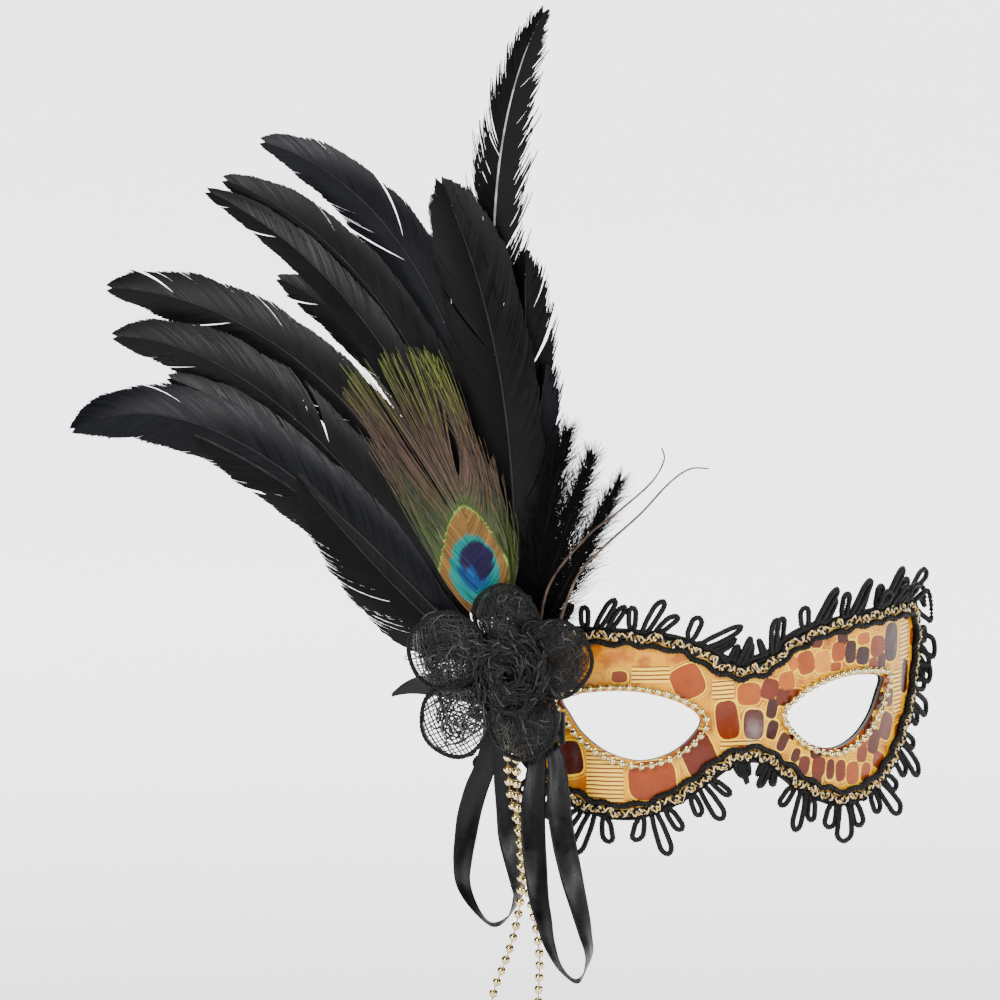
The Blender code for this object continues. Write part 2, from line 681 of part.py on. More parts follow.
def build_hanging():
    satin = material("satin_ribbon", SATIN, 0.35)
    felt = material("felt", (0.02, 0.02, 0.02), 0.95)
    width = TAB_SIDES[1] - TAB_SIDES[0]
    middle = (TAB_SIDES[0] + TAB_SIDES[1]) / 2
    add_box("hanging_tab", on_flower(middle, TAB_TOP - TAB_DEEP / 2, TAB_BACK + TAB_THICK / 2),
            (width, TAB_THICK, TAB_DEEP), FLOWER_ANGLE, felt)
    tab_front = TAB_BACK + TAB_THICK + GAP
    add_ribbon_loop("ribbon_loop_left", LOOP_LEFT, RIBBON_LEFT_DEPTHS, satin)
    add_ribbon_loop("ribbon_loop_right", LOOP_RIGHT, RIBBON_RIGHT_DEPTHS, satin)
    thread = material("thread", BLACK, 0.8)
    left, right = (KNOT_LEFT, PIN_HEIGHT), (KNOT_RIGHT, PIN_HEIGHT)
    left_front = RIBBON_LEFT_DEPTHS[0] - RIBBON_THICK / 2 - GAP
    right_front = RIBBON_RIGHT_DEPTHS[0] - RIBBON_THICK / 2 - GAP
    add_cylinder("ribbon_knot_left", left, KNOT_RADIUS, left_front - KNOT_HEIGHT, left_front, thread, 16)
    add_cylinder("ribbon_knot_right", right, KNOT_RADIUS, tab_front, right_front, thread, 16)
    route = smooth_route([(a * MM, z * MM, c * MM) for a, z, c in BEAD_ROUTE], 6)
    gold = material("gold_beads", GOLD, 0.25, 0.9)
    beads = [on_flower(*p) for p in evenly(route, BEAD_POINTS)]
    add_tube("bead_string", beads, BEAD_RADIUS, gold)
    add_cylinder("bead_crimp", CRIMP_PLACE, CRIMP_RADIUS, tab_front, CRIMP_FRONT, gold, 16)


for old in list(bpy.data.objects):
    bpy.data.objects.remove(old)
parts = bpy.data.collections.new("venetian_half_mask")
cutters = bpy.data.collections.new("cutters")
for made in (parts, cutters):
    bpy.context.scene.collection.children.link(made)

build_mask()
build_edge_trims()
build_pearls()
build_ties()
build_feathers()
build_flower()
build_hanging()
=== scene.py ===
import math

import bpy
import numpy as np
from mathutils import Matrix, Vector
from mathutils.geometry import delaunay_2d_cdt


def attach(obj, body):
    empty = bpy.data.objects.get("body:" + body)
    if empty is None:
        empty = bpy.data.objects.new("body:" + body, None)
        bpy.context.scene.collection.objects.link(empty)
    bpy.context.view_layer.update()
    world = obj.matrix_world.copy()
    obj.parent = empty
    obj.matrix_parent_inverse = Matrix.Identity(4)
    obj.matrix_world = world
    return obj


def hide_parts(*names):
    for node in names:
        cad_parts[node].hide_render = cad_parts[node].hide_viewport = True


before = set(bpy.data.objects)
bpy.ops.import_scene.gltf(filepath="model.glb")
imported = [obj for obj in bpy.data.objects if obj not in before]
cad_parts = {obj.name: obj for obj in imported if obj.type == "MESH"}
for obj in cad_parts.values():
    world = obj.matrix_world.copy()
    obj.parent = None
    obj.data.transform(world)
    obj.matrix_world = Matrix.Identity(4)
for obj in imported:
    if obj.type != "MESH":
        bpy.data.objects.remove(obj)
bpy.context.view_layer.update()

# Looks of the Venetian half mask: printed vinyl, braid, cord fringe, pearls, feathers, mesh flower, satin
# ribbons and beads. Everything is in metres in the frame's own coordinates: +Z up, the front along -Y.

MM = 0.001
TAU = 2 * math.pi

# The bent mask, as in the frame: radii from the wearer's face outwards
INNER_RADIUS = 98 * MM
LINING = (0.0, 0.6 * MM)
SHELL = (0.9 * MM, 1.2 * MM)
VINYL = (2.4 * MM, 0.4 * MM)
FRONT_LIFT = 2.8 * MM
NOSE_PUSH, NOSE_WIDTH, NOSE_TOP, NOSE_DROP = 2.5 * MM, 11 * MM, 2 * MM, 15 * MM
CUT_OUTSET = 4.5 * MM
VISIBLE_HALF = [
    (0, 9.5), (9.5, 11.5), (20.5, 18.4), (32, 21.6), (50, 23), (75, 23), (85.5, 21),
    (88, 16), (85, 4), (80.5, -6), (74, -14), (66, -22.5), (57, -28.5), (46, -32),
    (36, -31.5), (24.5, -26.5), (15, -19.5), (7, -14), (0, -12.8),
]
EYE = [
    (15.5, -3.8), (21, 1.6), (30, 5.2), (41, 7), (53, 6.4), (63.5, 4), (61, -2), (56, -9),
    (47.5, -15.2), (37, -18), (27, -15.8), (19.5, -10.5),
]

# The flower frame (a, z, c): across, up and out, tangent to the mask at the temple
FLOWER_ANGLE = math.radians(-42)
OUT = np.array([math.sin(FLOWER_ANGLE), -math.cos(FLOWER_ANGLE), 0])
ACROSS = np.array([math.cos(FLOWER_ANGLE), math.sin(FLOWER_ANGLE), 0])
UP = np.array([0, 0, 1.0])
FLOWER_ORIGIN = np.array([0, INNER_RADIUS, 0]) + OUT * (INNER_RADIUS + FRONT_LIFT)
CORE = np.array([-4, 8]) * MM
CORE_RADIUS = 7 * MM
SWEEP_BACK = 2.5


# Frames and curves


def on_mask(flat, lift):
    """Points on the bent mask, from flat (s, z) with s along it, and lift outside its inner face."""
    s, z, lift = np.broadcast_arrays(flat[..., 0], flat[..., 1], lift)
    angle = s / INNER_RADIUS
    radius = INNER_RADIUS + lift
    low = np.clip((NOSE_TOP - z) / NOSE_DROP, 0, 1)
    push = NOSE_PUSH * np.exp(-((s / NOSE_WIDTH) ** 2)) * low * low
    return np.stack([radius * np.sin(angle), INNER_RADIUS - radius * np.cos(angle) - push, z], -1)


def on_flower(flat, c):
    """Points in the flower frame, from flat (a, z) and c."""
    a, z, c = np.broadcast_arrays(flat[..., 0], flat[..., 1], c)
    return FLOWER_ORIGIN + a[..., None] * ACROSS + z[..., None] * UP + c[..., None] * OUT


def swept(flat, c):
    """The fan bends back a little towards the feather tips."""
    reach = np.hypot(flat[..., 0] - CORE[0], flat[..., 1] - CORE[1])
    return on_flower(flat, c - reach * reach / SWEEP_BACK)


def unit(v):
    return v / np.maximum(np.linalg.norm(v, axis=-1, keepdims=True), 1e-12)


def spoke(turn):
    return np.stack([np.cos(turn), np.sin(turn)], -1)


def smooth_route(points, steps, closed=False):
    """A Catmull-Rom curve through points, with steps pieces between each two."""
    points = np.array(points, float)
    n = len(points)
    i = np.arange(n if closed else n - 1)
    p = [points[(i + k) % n if closed else np.clip(i + k, 0, n - 1)] for k in (-1, 0, 1, 2)]
    t = (np.arange(steps) / steps)[None, :, None]
    p0, p1, p2, p3 = (q[:, None] for q in p)
    square, cube = 2 * p0 - 5 * p1 + 4 * p2 - p3, 3 * p1 - p0 - 3 * p2 + p3
    route = 0.5 * (2 * p1 + (p2 - p0) * t + square * t**2 + cube * t**3)
    route = route.reshape(-1, points.shape[1])
    return route if closed else np.vstack([route, points[-1:]])


def lengths(route):
    return np.concatenate([[0], np.cumsum(np.linalg.norm(np.diff(route, axis=0), axis=1))])


def sampled(rows, at, places=None):
    """A table's rows at in-between places, which count rows unless they are given for each row."""
    places = np.arange(len(rows)) if places is None else places
    return np.stack([np.interp(at, places, rows[:, k]) for k in range(rows.shape[1])], -1)


def along(route, distances):
    """The points of a route at these distances from its start."""
    return sampled(route, distances, lengths(route))


def evenly(route, count, closed=False):
    if closed:
        route = np.vstack([route, route[:1]])
    total = lengths(route)[-1]
    return along(route, np.linspace(0, total, count + 1)[:-1] if closed else np.linspace(0, total, count))


def outline(outset, count):
    """The closed edge of the vinyl that shows, in (s, z), moved outwards by outset."""
    half = [(s * MM, z * MM) for s, z in VISIBLE_HALF]
    whole = half + [(-s, z) for s, z in half[-2:0:-1]]
    return pushed_out(evenly(smooth_route(whole, 12, True), count, True), outset)


def eye_outline(side, outset, count):
    route = smooth_route([(s * MM * side, z * MM) for s, z in EYE[::side]], 12, True)
    return pushed_out(evenly(route, count, True), outset)


def normals_of(route):
    step = np.roll(route, -1, 0) - np.roll(route, 1, 0)
    return unit(np.stack([-step[:, 1], step[:, 0]], -1))


def pushed_out(route, outset):
    return route + normals_of(route) * outset


def ripple(x, seed, octaves=3):
    """Smooth one-dimensional noise, about -1 to 1."""
    r = np.random.default_rng(seed)
    total = 0
    for k in range(octaves):
        total = total + np.sin(x * 2**k * r.uniform(0.8, 1.2) + r.uniform(0, 6.3)) / 2**k
    return total / 1.7


# Meshes


def add_mesh(name, shape, finish, nodes, body="mask", uv=None, fields=None):
    """A piece that rides on a body and stands for nodes. shape is (corners, faces); the rest go by corner."""
    verts, faces = shape
    mesh = bpy.data.meshes.new(name)
    mesh.vertices.add(len(verts))
    mesh.vertices.foreach_set("co", np.asarray(verts, np.float32).ravel())
    mesh.loops.add(faces.size)
    mesh.loops.foreach_set("vertex_index", faces.astype(np.int32).ravel())
    mesh.polygons.add(len(faces))
    mesh.polygons.foreach_set("loop_start", np.arange(0, faces.size, faces.shape[1], dtype=np.int32))
    mesh.update(calc_edges=True)
    if uv is not None:
        layer = mesh.uv_layers.new(name="flat")
        layer.data.foreach_set("uv", np.asarray(uv, np.float32)[faces.ravel()].ravel())
    for key, values in (fields or {}).items():
        values = np.asarray(values, np.float32)
        kind, value = ("FLOAT", "value") if values.ndim == 1 else ("FLOAT_COLOR", "color")
        mesh.attributes.new(key, kind, "POINT").data.foreach_set(value, values.ravel())
    mesh.polygons.foreach_set("use_smooth", np.full(len(mesh.polygons), True))
    piece = bpy.data.objects.new(name, mesh)
    mesh.materials.append(finish)
    bpy.context.scene.collection.objects.link(piece)
    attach(piece, body)
    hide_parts(*nodes.split())
    return piece


def joined(parts):
    """One list of corners and one of faces from several."""
    verts, faces, count = [], [], 0
    for v, f in parts:
        verts.append(v)
        faces.append(f + count)
        count += len(v)
    return np.concatenate(verts), np.concatenate(faces)


def tilted_strips(paths, widths, tilt):
    """Flat strips in the fan's plane, tilted about their own lines: paths (m, n, 3) and widths (m, n)."""
    m, n = widths.shape
    tangent = unit(np.gradient(paths, axis=1))
    inplane = unit(np.cross(tangent, OUT))
    across = inplane * np.cos(tilt) + np.cross(tangent, inplane) * np.sin(tilt)
    half = across * widths[..., None] / 2
    verts = np.stack([paths - half, paths + half], 2).reshape(-1, 3)
    i = (np.arange(m)[:, None] * n + np.arange(n - 1)[None]).ravel() * 2
    return verts, np.stack([i, i + 1, i + 3, i + 2], -1)


def strands(paths, radii, sides=4, ref=OUT, closed=False):
    """Round strands: paths (m, n, 3) and radii (m, n). ref is never along a strand."""
    m, n = radii.shape
    tangent = unit(np.roll(paths, -1, 1) - np.roll(paths, 1, 1) if closed else np.gradient(paths, axis=1))
    side = unit(np.cross(tangent, ref))
    top = np.cross(side, tangent)
    turn = np.arange(sides) / sides * TAU
    ring = np.cos(turn)[:, None] * side[:, :, None] + np.sin(turn)[:, None] * top[:, :, None]
    verts = (paths[:, :, None] + radii[:, :, None, None] * ring).reshape(-1, 3)
    rows = n if closed else n - 1
    first = (np.arange(m)[:, None] * n + np.arange(rows)[None]).ravel()
    after = (np.arange(m)[:, None] * n + (np.arange(rows)[None] + 1) % n).ravel()
    k = np.arange(sides)
    a, b = first[:, None] * sides + k, first[:, None] * sides + (k + 1) % sides
    c, d = after[:, None] * sides + (k + 1) % sides, after[:, None] * sides + k
    return verts, np.stack([a, b, c, d], -1).reshape(-1, 4)


def carried_frames(path, closed=False):
    """Two directions across a path that turn as little as they can along it."""
    tangent = unit(np.roll(path, -1, 0) - np.roll(path, 1, 0) if closed else np.gradient(path, axis=0))
    side = unit(np.cross(tangent[0], OUT + 0.01))
    sides = []
    for t in tangent:
        side = side - t * (side @ t)
        side /= np.linalg.norm(side)
        sides.append(side)
    sides = np.array(sides)
    return sides, np.cross(tangent, sides)


def twisted(path, radius, plies, lay, sides=6, closed=False, fuzz=0.0):
    """A cord of twisted plies along a path."""
    side, top = carried_frames(path, closed)
    total = lengths(path)
    if closed:
        lay = total[-1] / max(1, round(total[-1] / lay))
    ply = radius * (0.62 if plies == 2 else 0.52)
    offset = radius - ply
    parts = []
    for k in range(plies):
        turn = total / lay * TAU + k * TAU / plies
        away = np.cos(turn)[:, None] * side + np.sin(turn)[:, None] * top
        wobble = 1 + fuzz * ripple(total / MM * 2.3, 1 + k)[:, None]
        centre = path + offset * wobble * away
        parts.append(strands(centre[None], np.full((1, len(path)), ply), sides, unit(away)[None], closed))
    return joined(parts)


def balls(centres, radii, rings, around):
    """Round beads at these places."""
    down, turn = np.linspace(0, math.pi, rings + 1)[1:-1], np.arange(around) / around * TAU
    v, u = np.meshgrid(down, turn, indexing="ij")
    belt = np.stack([np.sin(v) * np.cos(u), np.sin(v) * np.sin(u), np.cos(v)], -1).reshape(-1, 3)
    shape = np.vstack([belt, [[0, 0, 1], [0, 0, -1]]])
    quads = []
    for i in range(rings - 2):
        for k in range(around):
            a, b = i * around + k, i * around + (k + 1) % around
            quads.append([a, a + around, b + around, b])
    last = (rings - 2) * around
    top, bottom = len(belt), len(belt) + 1
    for k in range(0, around, 2):
        a, b, c = k, (k + 1) % around, (k + 2) % around
        quads.append([top, a, b, c])
        quads.append([bottom, last + c, last + b, last + a])
    verts = (centres[:, None] + radii[:, None, None] * shape).reshape(-1, 3)
    faces = (np.arange(len(centres))[:, None, None] * len(shape) + np.array(quads)).reshape(-1, 4)
    return verts, faces


def grid_faces(rows, columns, closed=False):
    """Faces of a grid of rows by columns points; closed joins the last column to the first."""
    i, k = np.meshgrid(np.arange(rows - 1), np.arange(columns if closed else columns - 1), indexing="ij")
    row, after, nxt = i * columns, (i + 1) * columns, (k + 1) % columns
    return np.stack([row + k, row + nxt, after + nxt, after + k], -1).reshape(-1, 4)


# Materials


def plug(tree, value, socket):
    """Links an output to a socket, or gives the socket a plain value."""
    if isinstance(value, bpy.types.NodeSocket):
        tree.links.new(value, socket)
    else:
        socket.default_value = value


class Finish:
    """A Principled material and short ways to add nodes to it."""

    def __init__(self, name, colour, roughness, metallic=0.0, **sockets):
        self.material = bpy.data.materials.new(name)
        self.material.use_nodes = True
        self.tree = self.material.node_tree
        self.shader = self.tree.nodes["Principled BSDF"]
        self.set("Base Color", (*colour, 1))
        self.set("Roughness", roughness)
        self.set("Metallic", metallic)
        for key, value in sockets.items():
            self.set(key.replace("_", " "), value)

    def set(self, socket, value):
        plug(self.tree, value, self.shader.inputs[socket])

    def node(self, kind, inputs=(), **settings):
        made = self.tree.nodes.new("ShaderNode" + kind)
        for key, value in settings.items():
            setattr(made, key, value)
        for key, value in dict(inputs).items():
            plug(self.tree, value, made.inputs[key])
        return made

    def maths(self, operation, a, b=0.0):
        return self.node("Math", {0: a, 1: b}, operation=operation).outputs[0]

    def plus(self, a, b):
        return self.maths("ADD", a, b)

    def minus(self, a, b):
        return self.maths("SUBTRACT", a, b)

    def times(self, a, b):
        return self.maths("MULTIPLY", a, b)

    def scaled(self, colour, amount):
        return self.node("VectorMath", {0: colour, "Scale": amount}, operation="SCALE").outputs[0]

    def mix(self, factor, a, b):
        a, b = ((*value, 1) if isinstance(value, tuple) else value for value in (a, b))
        return self.node("Mix", {0: factor, 6: a, 7: b}, data_type="RGBA").outputs[2]

    def ramp(self, factor, stops):
        made = self.node("ValToRGB", {0: factor})
        made.color_ramp.interpolation = "EASE"
        elements = made.color_ramp.elements
        while len(elements) < len(stops):
            elements.new(0.5)
        for element, (at, colour) in zip(elements, stops):
            element.position = at
            element.color = (*colour, 1) if isinstance(colour, tuple) else (colour, colour, colour, 1)
        return made.outputs[0]

    def step(self, value, low, high):
        """0 below low, 1 above high, and smooth between."""
        made = self.node("MapRange", {0: value, 1: low, 2: high}, interpolation_type="SMOOTHSTEP")
        return made.outputs[0]

    def bump(self, height, distance, strength=1.0):
        made = self.node("Bump", {"Height": height, "Distance": distance, "Strength": strength})
        self.set("Normal", made.outputs[0])

    def noise(self, vector, scale, detail=3.0, rough=0.5):
        inputs = {"Vector": vector, "Scale": scale, "Detail": detail, "Roughness": rough}
        return self.node("TexNoise", inputs).outputs[0]

    def place(self):
        return self.node("TexCoord").outputs["Object"]

    def flat_place(self):
        return self.node("UVMap", uv_map="flat").outputs[0]

    def each(self):
        """A number from 0 to 1 that differs from strand to strand."""
        return self.node("NewGeometry").outputs["Random Per Island"]


def snakeskin():
    """Glossy vinyl print. Two fields on the mesh, scale and ladder, say where the scales and stripes are."""
    f = Finish("snakeskin_print", (0.7, 0.4, 0.15), 0.24, Coat_Weight=0.03, Coat_Roughness=0.12,
               Specular_IOR_Level=0.2)
    flat = f.flat_place()
    z = f.node("SeparateXYZ", {0: flat}).outputs[1]
    scale = f.node("Attribute", attribute_name="scale").outputs["Fac"]
    ladder = f.node("Attribute", attribute_name="ladder").outputs["Fac"]
    tone = f.node("Attribute", attribute_name="tone").outputs["Color"]
    wobble = f.times(f.minus(f.noise(flat, 500.0, 3.0), 0.5), 0.35)
    inside = f.step(f.plus(scale, wobble), 0.0, 0.16)
    cloud = f.noise(flat, 120.0, 4.0, 0.65)
    patch = f.noise(flat, 45.0, 3.0, 0.6)
    shade = f.plus(0.42, f.plus(f.times(cloud, 0.85), f.times(patch, 0.4)))
    skin = f.scaled(tone, shade)
    ground = f.ramp(f.plus(f.times(patch, 0.6), f.times(cloud, 0.4)), [
        (0.34, (0.22, 0.035, 0.002)), (0.43, (0.45, 0.12, 0.0)), (0.52, (0.72, 0.3, 0.0)),
        (0.6, (0.4, 0.11, 0.004)), (0.68, (0.7, 0.33, 0.04)), (0.8, (0.8, 0.38, 0.0)),
    ])
    rim = f.minus(f.step(scale, -0.5, -0.36), inside)
    second = f.minus(f.step(scale, -1.25, -1.15), f.step(scale, -0.98, -0.88))
    lines = f.maths("MAXIMUM", rim, f.times(second, 0.7))
    gold = f.mix(f.step(cloud, 0.35, 0.65), (0.8, 0.38, 0.0), (1.0, 0.66, 0.01))
    colour = f.mix(lines, ground, gold)
    stripe = f.maths("SINE", f.times(f.plus(z, f.times(patch, 1.2 * MM)), TAU / (1.5 * MM)))
    rung = f.step(stripe, -0.62, -0.2)
    striped = f.mix(rung, (0.2, 0.04, 0.008), (1.0, 0.6, 0.05))
    colour = f.mix(f.step(ladder, 0.0, 0.2), colour, striped)
    colour = f.mix(inside, colour, skin)
    f.set("Base Color", colour)
    relief = f.plus(f.times(f.maths("MAXIMUM", lines, f.times(rung, ladder)), 0.5),
                     f.times(f.noise(flat, 1500.0, 2.0), 0.1))
    f.bump(f.plus(relief, f.times(patch, 2.0)), 0.35 * MM, 0.45)
    f.set("Roughness", f.ramp(f.noise(flat, 210.0, 3.0), [(0.3, 0.17), (0.7, 0.33)]))
    return f.material


def cloth(name, colour, roughness, thread=0.45, depth=0.12, sheen=0.3, spread=0.35):
    """Woven or felted cloth: a fine weave in relief, and patches lighter and darker than the whole."""
    f = Finish(name, colour, roughness, Sheen_Weight=sheen, Sheen_Roughness=0.5)
    place = f.place()
    tone = f.noise(place, 220.0, 4.0, 0.6)
    low = tuple(c * (1 - spread) for c in colour)
    high = tuple(min(1, c * (1 + 2 * spread)) for c in colour)
    f.set("Base Color", f.mix(tone, low, high))
    fine = f.node("TexVoronoi", {"Vector": place, "Scale": 1 / (thread * MM)}).outputs["Distance"]
    f.bump(f.plus(fine, tone), depth * MM, 0.8)
    f.set("Roughness", f.ramp(tone, [(0.3, max(0.05, roughness - 0.1)), (0.7, min(1, roughness + 0.1))]))
    return f.material


def satin(name):
    """Black satin: smooth, with fine crosswise ribs and a bright, narrow sheen."""
    f = Finish(name, (0.01, 0.01, 0.012), 0.34, Sheen_Weight=0.02, Sheen_Roughness=0.25, Anisotropic=0.5,
               Specular_IOR_Level=0.2)
    flat = f.node("SeparateXYZ", {0: f.flat_place()})
    rib = f.maths("SINE", f.times(flat.outputs[1], TAU / (0.42 * MM)))
    edge = f.step(f.maths("ABSOLUTE", flat.outputs[0]), 0.0041, 0.0044)
    cloud = f.noise(f.flat_place(), 320.0, 4.0, 0.65)
    stops = [(0.3, (0.001, 0.001, 0.001)), (0.6, (0.003, 0.003, 0.004)), (0.75, (0.01, 0.01, 0.012))]
    f.set("Base Color", f.ramp(cloud, stops))
    relief = f.plus(f.times(rib, 0.2), f.times(edge, 1.2))
    grain = f.noise(f.flat_place(), 2200.0, 2.0)
    f.bump(f.plus(relief, f.times(grain, 0.5)), 0.1 * MM, 0.5)
    f.set("Roughness", f.ramp(cloud, [(0.3, 0.27), (0.7, 0.35)]))
    return f.material


def metal(name, colour, roughness, metallic=0.9, coat=0.3):
    f = Finish(name, colour, roughness, metallic, Coat_Weight=coat, Coat_Roughness=0.1)
    place = f.place()
    tone = f.noise(place, 350.0, 3.0)
    dark = tuple(c * 0.72 for c in colour)
    f.set("Base Color", f.mix(f.step(tone, 0.35, 0.65), dark, colour))
    f.set("Roughness", f.ramp(tone, [(0.3, roughness * 0.8), (0.7, roughness * 1.35)]))
    f.bump(f.noise(place, 1500.0, 2.0), 0.03 * MM, 0.4)
    return f.material


def feather_black(name, gloss, light=0.02, tint=(1, 1, 1.06)):
    """Dyed barbs: nearly black, each one a little different, with a soft silky sheen."""
    f = Finish(name, (0.012, 0.012, 0.013), gloss, Specular_IOR_Level=0.1)
    each = f.each()
    cloud = f.noise(f.place(), 60.0, 3.0)
    mix = f.plus(f.times(each, 0.55), f.times(cloud, 0.5))
    low = tuple(0.15 * light * t for t in tint)
    middle = tuple(0.4 * light * t for t in tint)
    high = tuple(light * t for t in tint)
    f.set("Base Color", f.ramp(mix, [(0.2, low), (0.6, middle), (0.95, high)]))
    f.set("Roughness", f.ramp(each, [(0.0, gloss * 0.8), (1.0, gloss * 1.3)]))
    return f.material


def quill_brown():
    f = Finish("brown_quill_horn", (0.13, 0.07, 0.04), 0.45)
    tone = f.noise(f.place(), 300.0, 4.0)
    stops = [(0.3, (0.02, 0.01, 0.006)), (0.6, (0.07, 0.04, 0.022)), (0.8, (0.2, 0.13, 0.08))]
    f.set("Base Color", f.ramp(tone, stops))
    f.bump(tone, 0.1 * MM, 0.6)
    return f.material


def rachis_finish(name, pale):
    f = Finish(name, (pale, pale, pale), 0.5, Specular_IOR_Level=0.2)
    tone = f.noise(f.place(), 160.0, 3.0)
    dark = (pale * 0.35, pale * 0.33, pale * 0.31)
    f.set("Base Color", f.mix(f.step(tone, 0.35, 0.7), dark, (pale, pale * 0.96, pale * 0.9)))
    return f.material


def peacock():
    """Iridescent barbs: the eye is drawn in nested ovals about its centre, in feather coordinates."""
    f = Finish("peacock_iridescence", (0.1, 0.1, 0.04), 0.4, Specular_IOR_Level=0.25)
    flat = f.node("SeparateXYZ", {0: f.flat_place()})
    x, y = flat.outputs[0], flat.outputs[1]
    lean = math.radians(12)

    def oval(cx, cy, wide, high, point=0.0):
        u = f.minus(x, cx * MM)
        v = f.minus(y, cy * MM)
        across = f.plus(f.times(u, math.cos(lean)), f.times(v, math.sin(lean)))
        up = f.minus(f.times(v, math.cos(lean)), f.times(u, math.sin(lean)))
        across = f.maths("DIVIDE", across, wide * MM)
        up = f.maths("DIVIDE", up, high * MM)
        if point:
            across = f.times(across, f.plus(1.0, f.times(f.maths("MAXIMUM", up, 0.0), point)))
        return f.maths("SQRT", f.plus(f.times(across, across), f.times(up, up)))

    each = f.each()
    fray = f.times(f.minus(each, 0.5), 0.1)
    height = f.plus(f.maths("DIVIDE", f.minus(y, 0.07), 0.055), f.times(fray, 4.0))
    outer = f.ramp(height, [
        (0.0, (0.022, 0.032, 0.006)), (0.15, (0.034, 0.024, 0.009)), (0.4, (0.042, 0.021, 0.014)),
        (0.62, (0.04, 0.024, 0.01)), (0.8, (0.04, 0.038, 0.006)), (1.0, (0.055, 0.065, 0.007)),
    ])
    outer = f.scaled(outer, f.plus(0.3, f.times(each, 1.5)))
    tear = f.plus(oval(-17.6, 52.5, 12.6, 19.5, 0.55), f.times(fray, 0.35))
    colour = f.mix(f.step(tear, 1.1, 1.35), (0.03, 0.04, 0.008), outer)
    colour = f.mix(f.step(tear, 1.035, 1.06), (0.12, 0.18, 0.03), colour)
    colour = f.mix(f.step(tear, 0.985, 1.01), f.mix(each, (0.1, 0.055, 0.012), (0.17, 0.08, 0.018)), colour)
    ring = f.plus(oval(-17.2, 50.5, 9.4, 12.3, 0.1), fray)
    colour = f.mix(f.step(ring, 0.93, 1.05), (0.0, 0.13, 0.11), colour)
    colour = f.mix(f.step(ring, 0.5, 0.8), (0.0, 0.035, 0.13), colour)
    heart = f.plus(oval(-16.2, 53.4, 6.6, 7.4), fray)
    notch = oval(-17.8, 46.4, 2.6, 5.6)
    inner = f.maths("MAXIMUM", f.step(heart, 0.85, 1.05), f.minus(1.0, f.step(notch, 0.75, 1.1)))
    colour = f.mix(inner, (0.004, 0.001, 0.025), colour)
    f.set("Base Color", f.scaled(colour, f.plus(0.75, f.times(each, 0.5))))
    f.set("Metallic", f.times(f.minus(1.0, f.step(tear, 0.95, 1.3)), 0.45))
    return f.material


# Camera and light


def build_stage():
    data = bpy.data.cameras.new("camera")
    data.lens, data.sensor_width = 1200, 36
    data.clip_start, data.clip_end = 0.1, 60
    camera = bpy.data.objects.new("camera", data)
    bpy.context.scene.collection.objects.link(camera)
    azimuth, elevation = math.radians(-22), math.radians(9)
    level = math.cos(elevation)
    back = Vector((math.sin(azimuth) * level, -math.cos(azimuth) * level, math.sin(elevation)))
    right = Vector((math.cos(azimuth), math.sin(azimuth), 0))
    up = back.cross(right)
    width = 350 * MM
    middle = right * -84.35 * MM + up * 71.75 * MM + back * -60 * MM
    camera.location = middle + back * (width / 2 / (data.sensor_width / 2 / data.lens))
    camera.rotation_mode = "QUATERNION"
    camera.rotation_quaternion = (-back).to_track_quat("-Z", "Y")
    bpy.context.scene.camera = camera

    floor = bpy.data.meshes.new("floor")
    floor.from_pydata([(x * FLOOR_HALF, y * FLOOR_HALF, FLOOR_Z) for x, y in CORNERS], [], [(0, 1, 2, 3)])
    floor = bpy.data.objects.new("floor", floor)
    white = Finish("floor_white", (0.9, 0.9, 0.9), 0.9)
    tone = white.noise(white.place(), 3.0)
    white.set("Base Color", white.ramp(tone, [(0.3, (0.89, 0.89, 0.89)), (0.7, (0.92, 0.92, 0.92))]))
    far = white.node("VectorMath", {0: white.place()}, operation="LENGTH").outputs["Value"]
    white.set("Emission Color", white.mix(white.step(far, 0.6, 2.2), (0.0, 0.0, 0.0), (1.0, 1.0, 1.0)))
    white.set("Emission Strength", FLOOR_GLOW)
    floor.data.materials.append(white.material)
    bpy.context.scene.collection.objects.link(floor)

    world = bpy.data.worlds.new("studio")
    world.use_nodes = True
    world.node_tree.nodes["Background"].inputs[0].default_value = (1, 1, 1, 1)
    # dim all round, and as pale as the floor in a thin band under the horizon, past the floor's end
    tree = world.node_tree
    height = tree.nodes.new("ShaderNodeSeparateXYZ")
    tree.links.new(tree.nodes.new("ShaderNodeTexCoord").outputs["Generated"], height.inputs[0])
    band = tree.nodes.new("ShaderNodeMath")
    band.operation = "COMPARE"
    band.inputs[1].default_value, band.inputs[2].default_value = -0.04, 0.033
    tree.links.new(height.outputs[2], band.inputs[0])
    glow = tree.nodes.new("ShaderNodeMath")
    glow.operation = "MULTIPLY_ADD"
    glow.inputs[1].default_value, glow.inputs[2].default_value = HORIZON_GLOW, WORLD_LIGHT
    tree.links.new(band.outputs[0], glow.inputs[0])
    tree.links.new(glow.outputs[0], tree.nodes["Background"].inputs[1])
    bpy.context.scene.world = world
    for name, place, size, power in LIGHTS:
        data = bpy.data.lights.new(name, "AREA")
        data.size, data.energy = size, power
        light = bpy.data.objects.new(name, data)
        light.location = place
        light.rotation_mode = "QUATERNION"
        light.rotation_quaternion = (Vector(place) - Vector((-0.05, 0.05, 0.06))).to_track_quat("Z", "Y")
        bpy.context.scene.collection.objects.link(light)
    sun = bpy.data.lights.new("overhead", "SUN")
    sun.energy, sun.angle = SUN_LIGHT, math.radians(60)
    sun = bpy.data.objects.new("overhead", sun)
    sun.rotation_euler = (math.radians(-18), math.radians(12), 0)
    bpy.context.scene.collection.objects.link(sun)


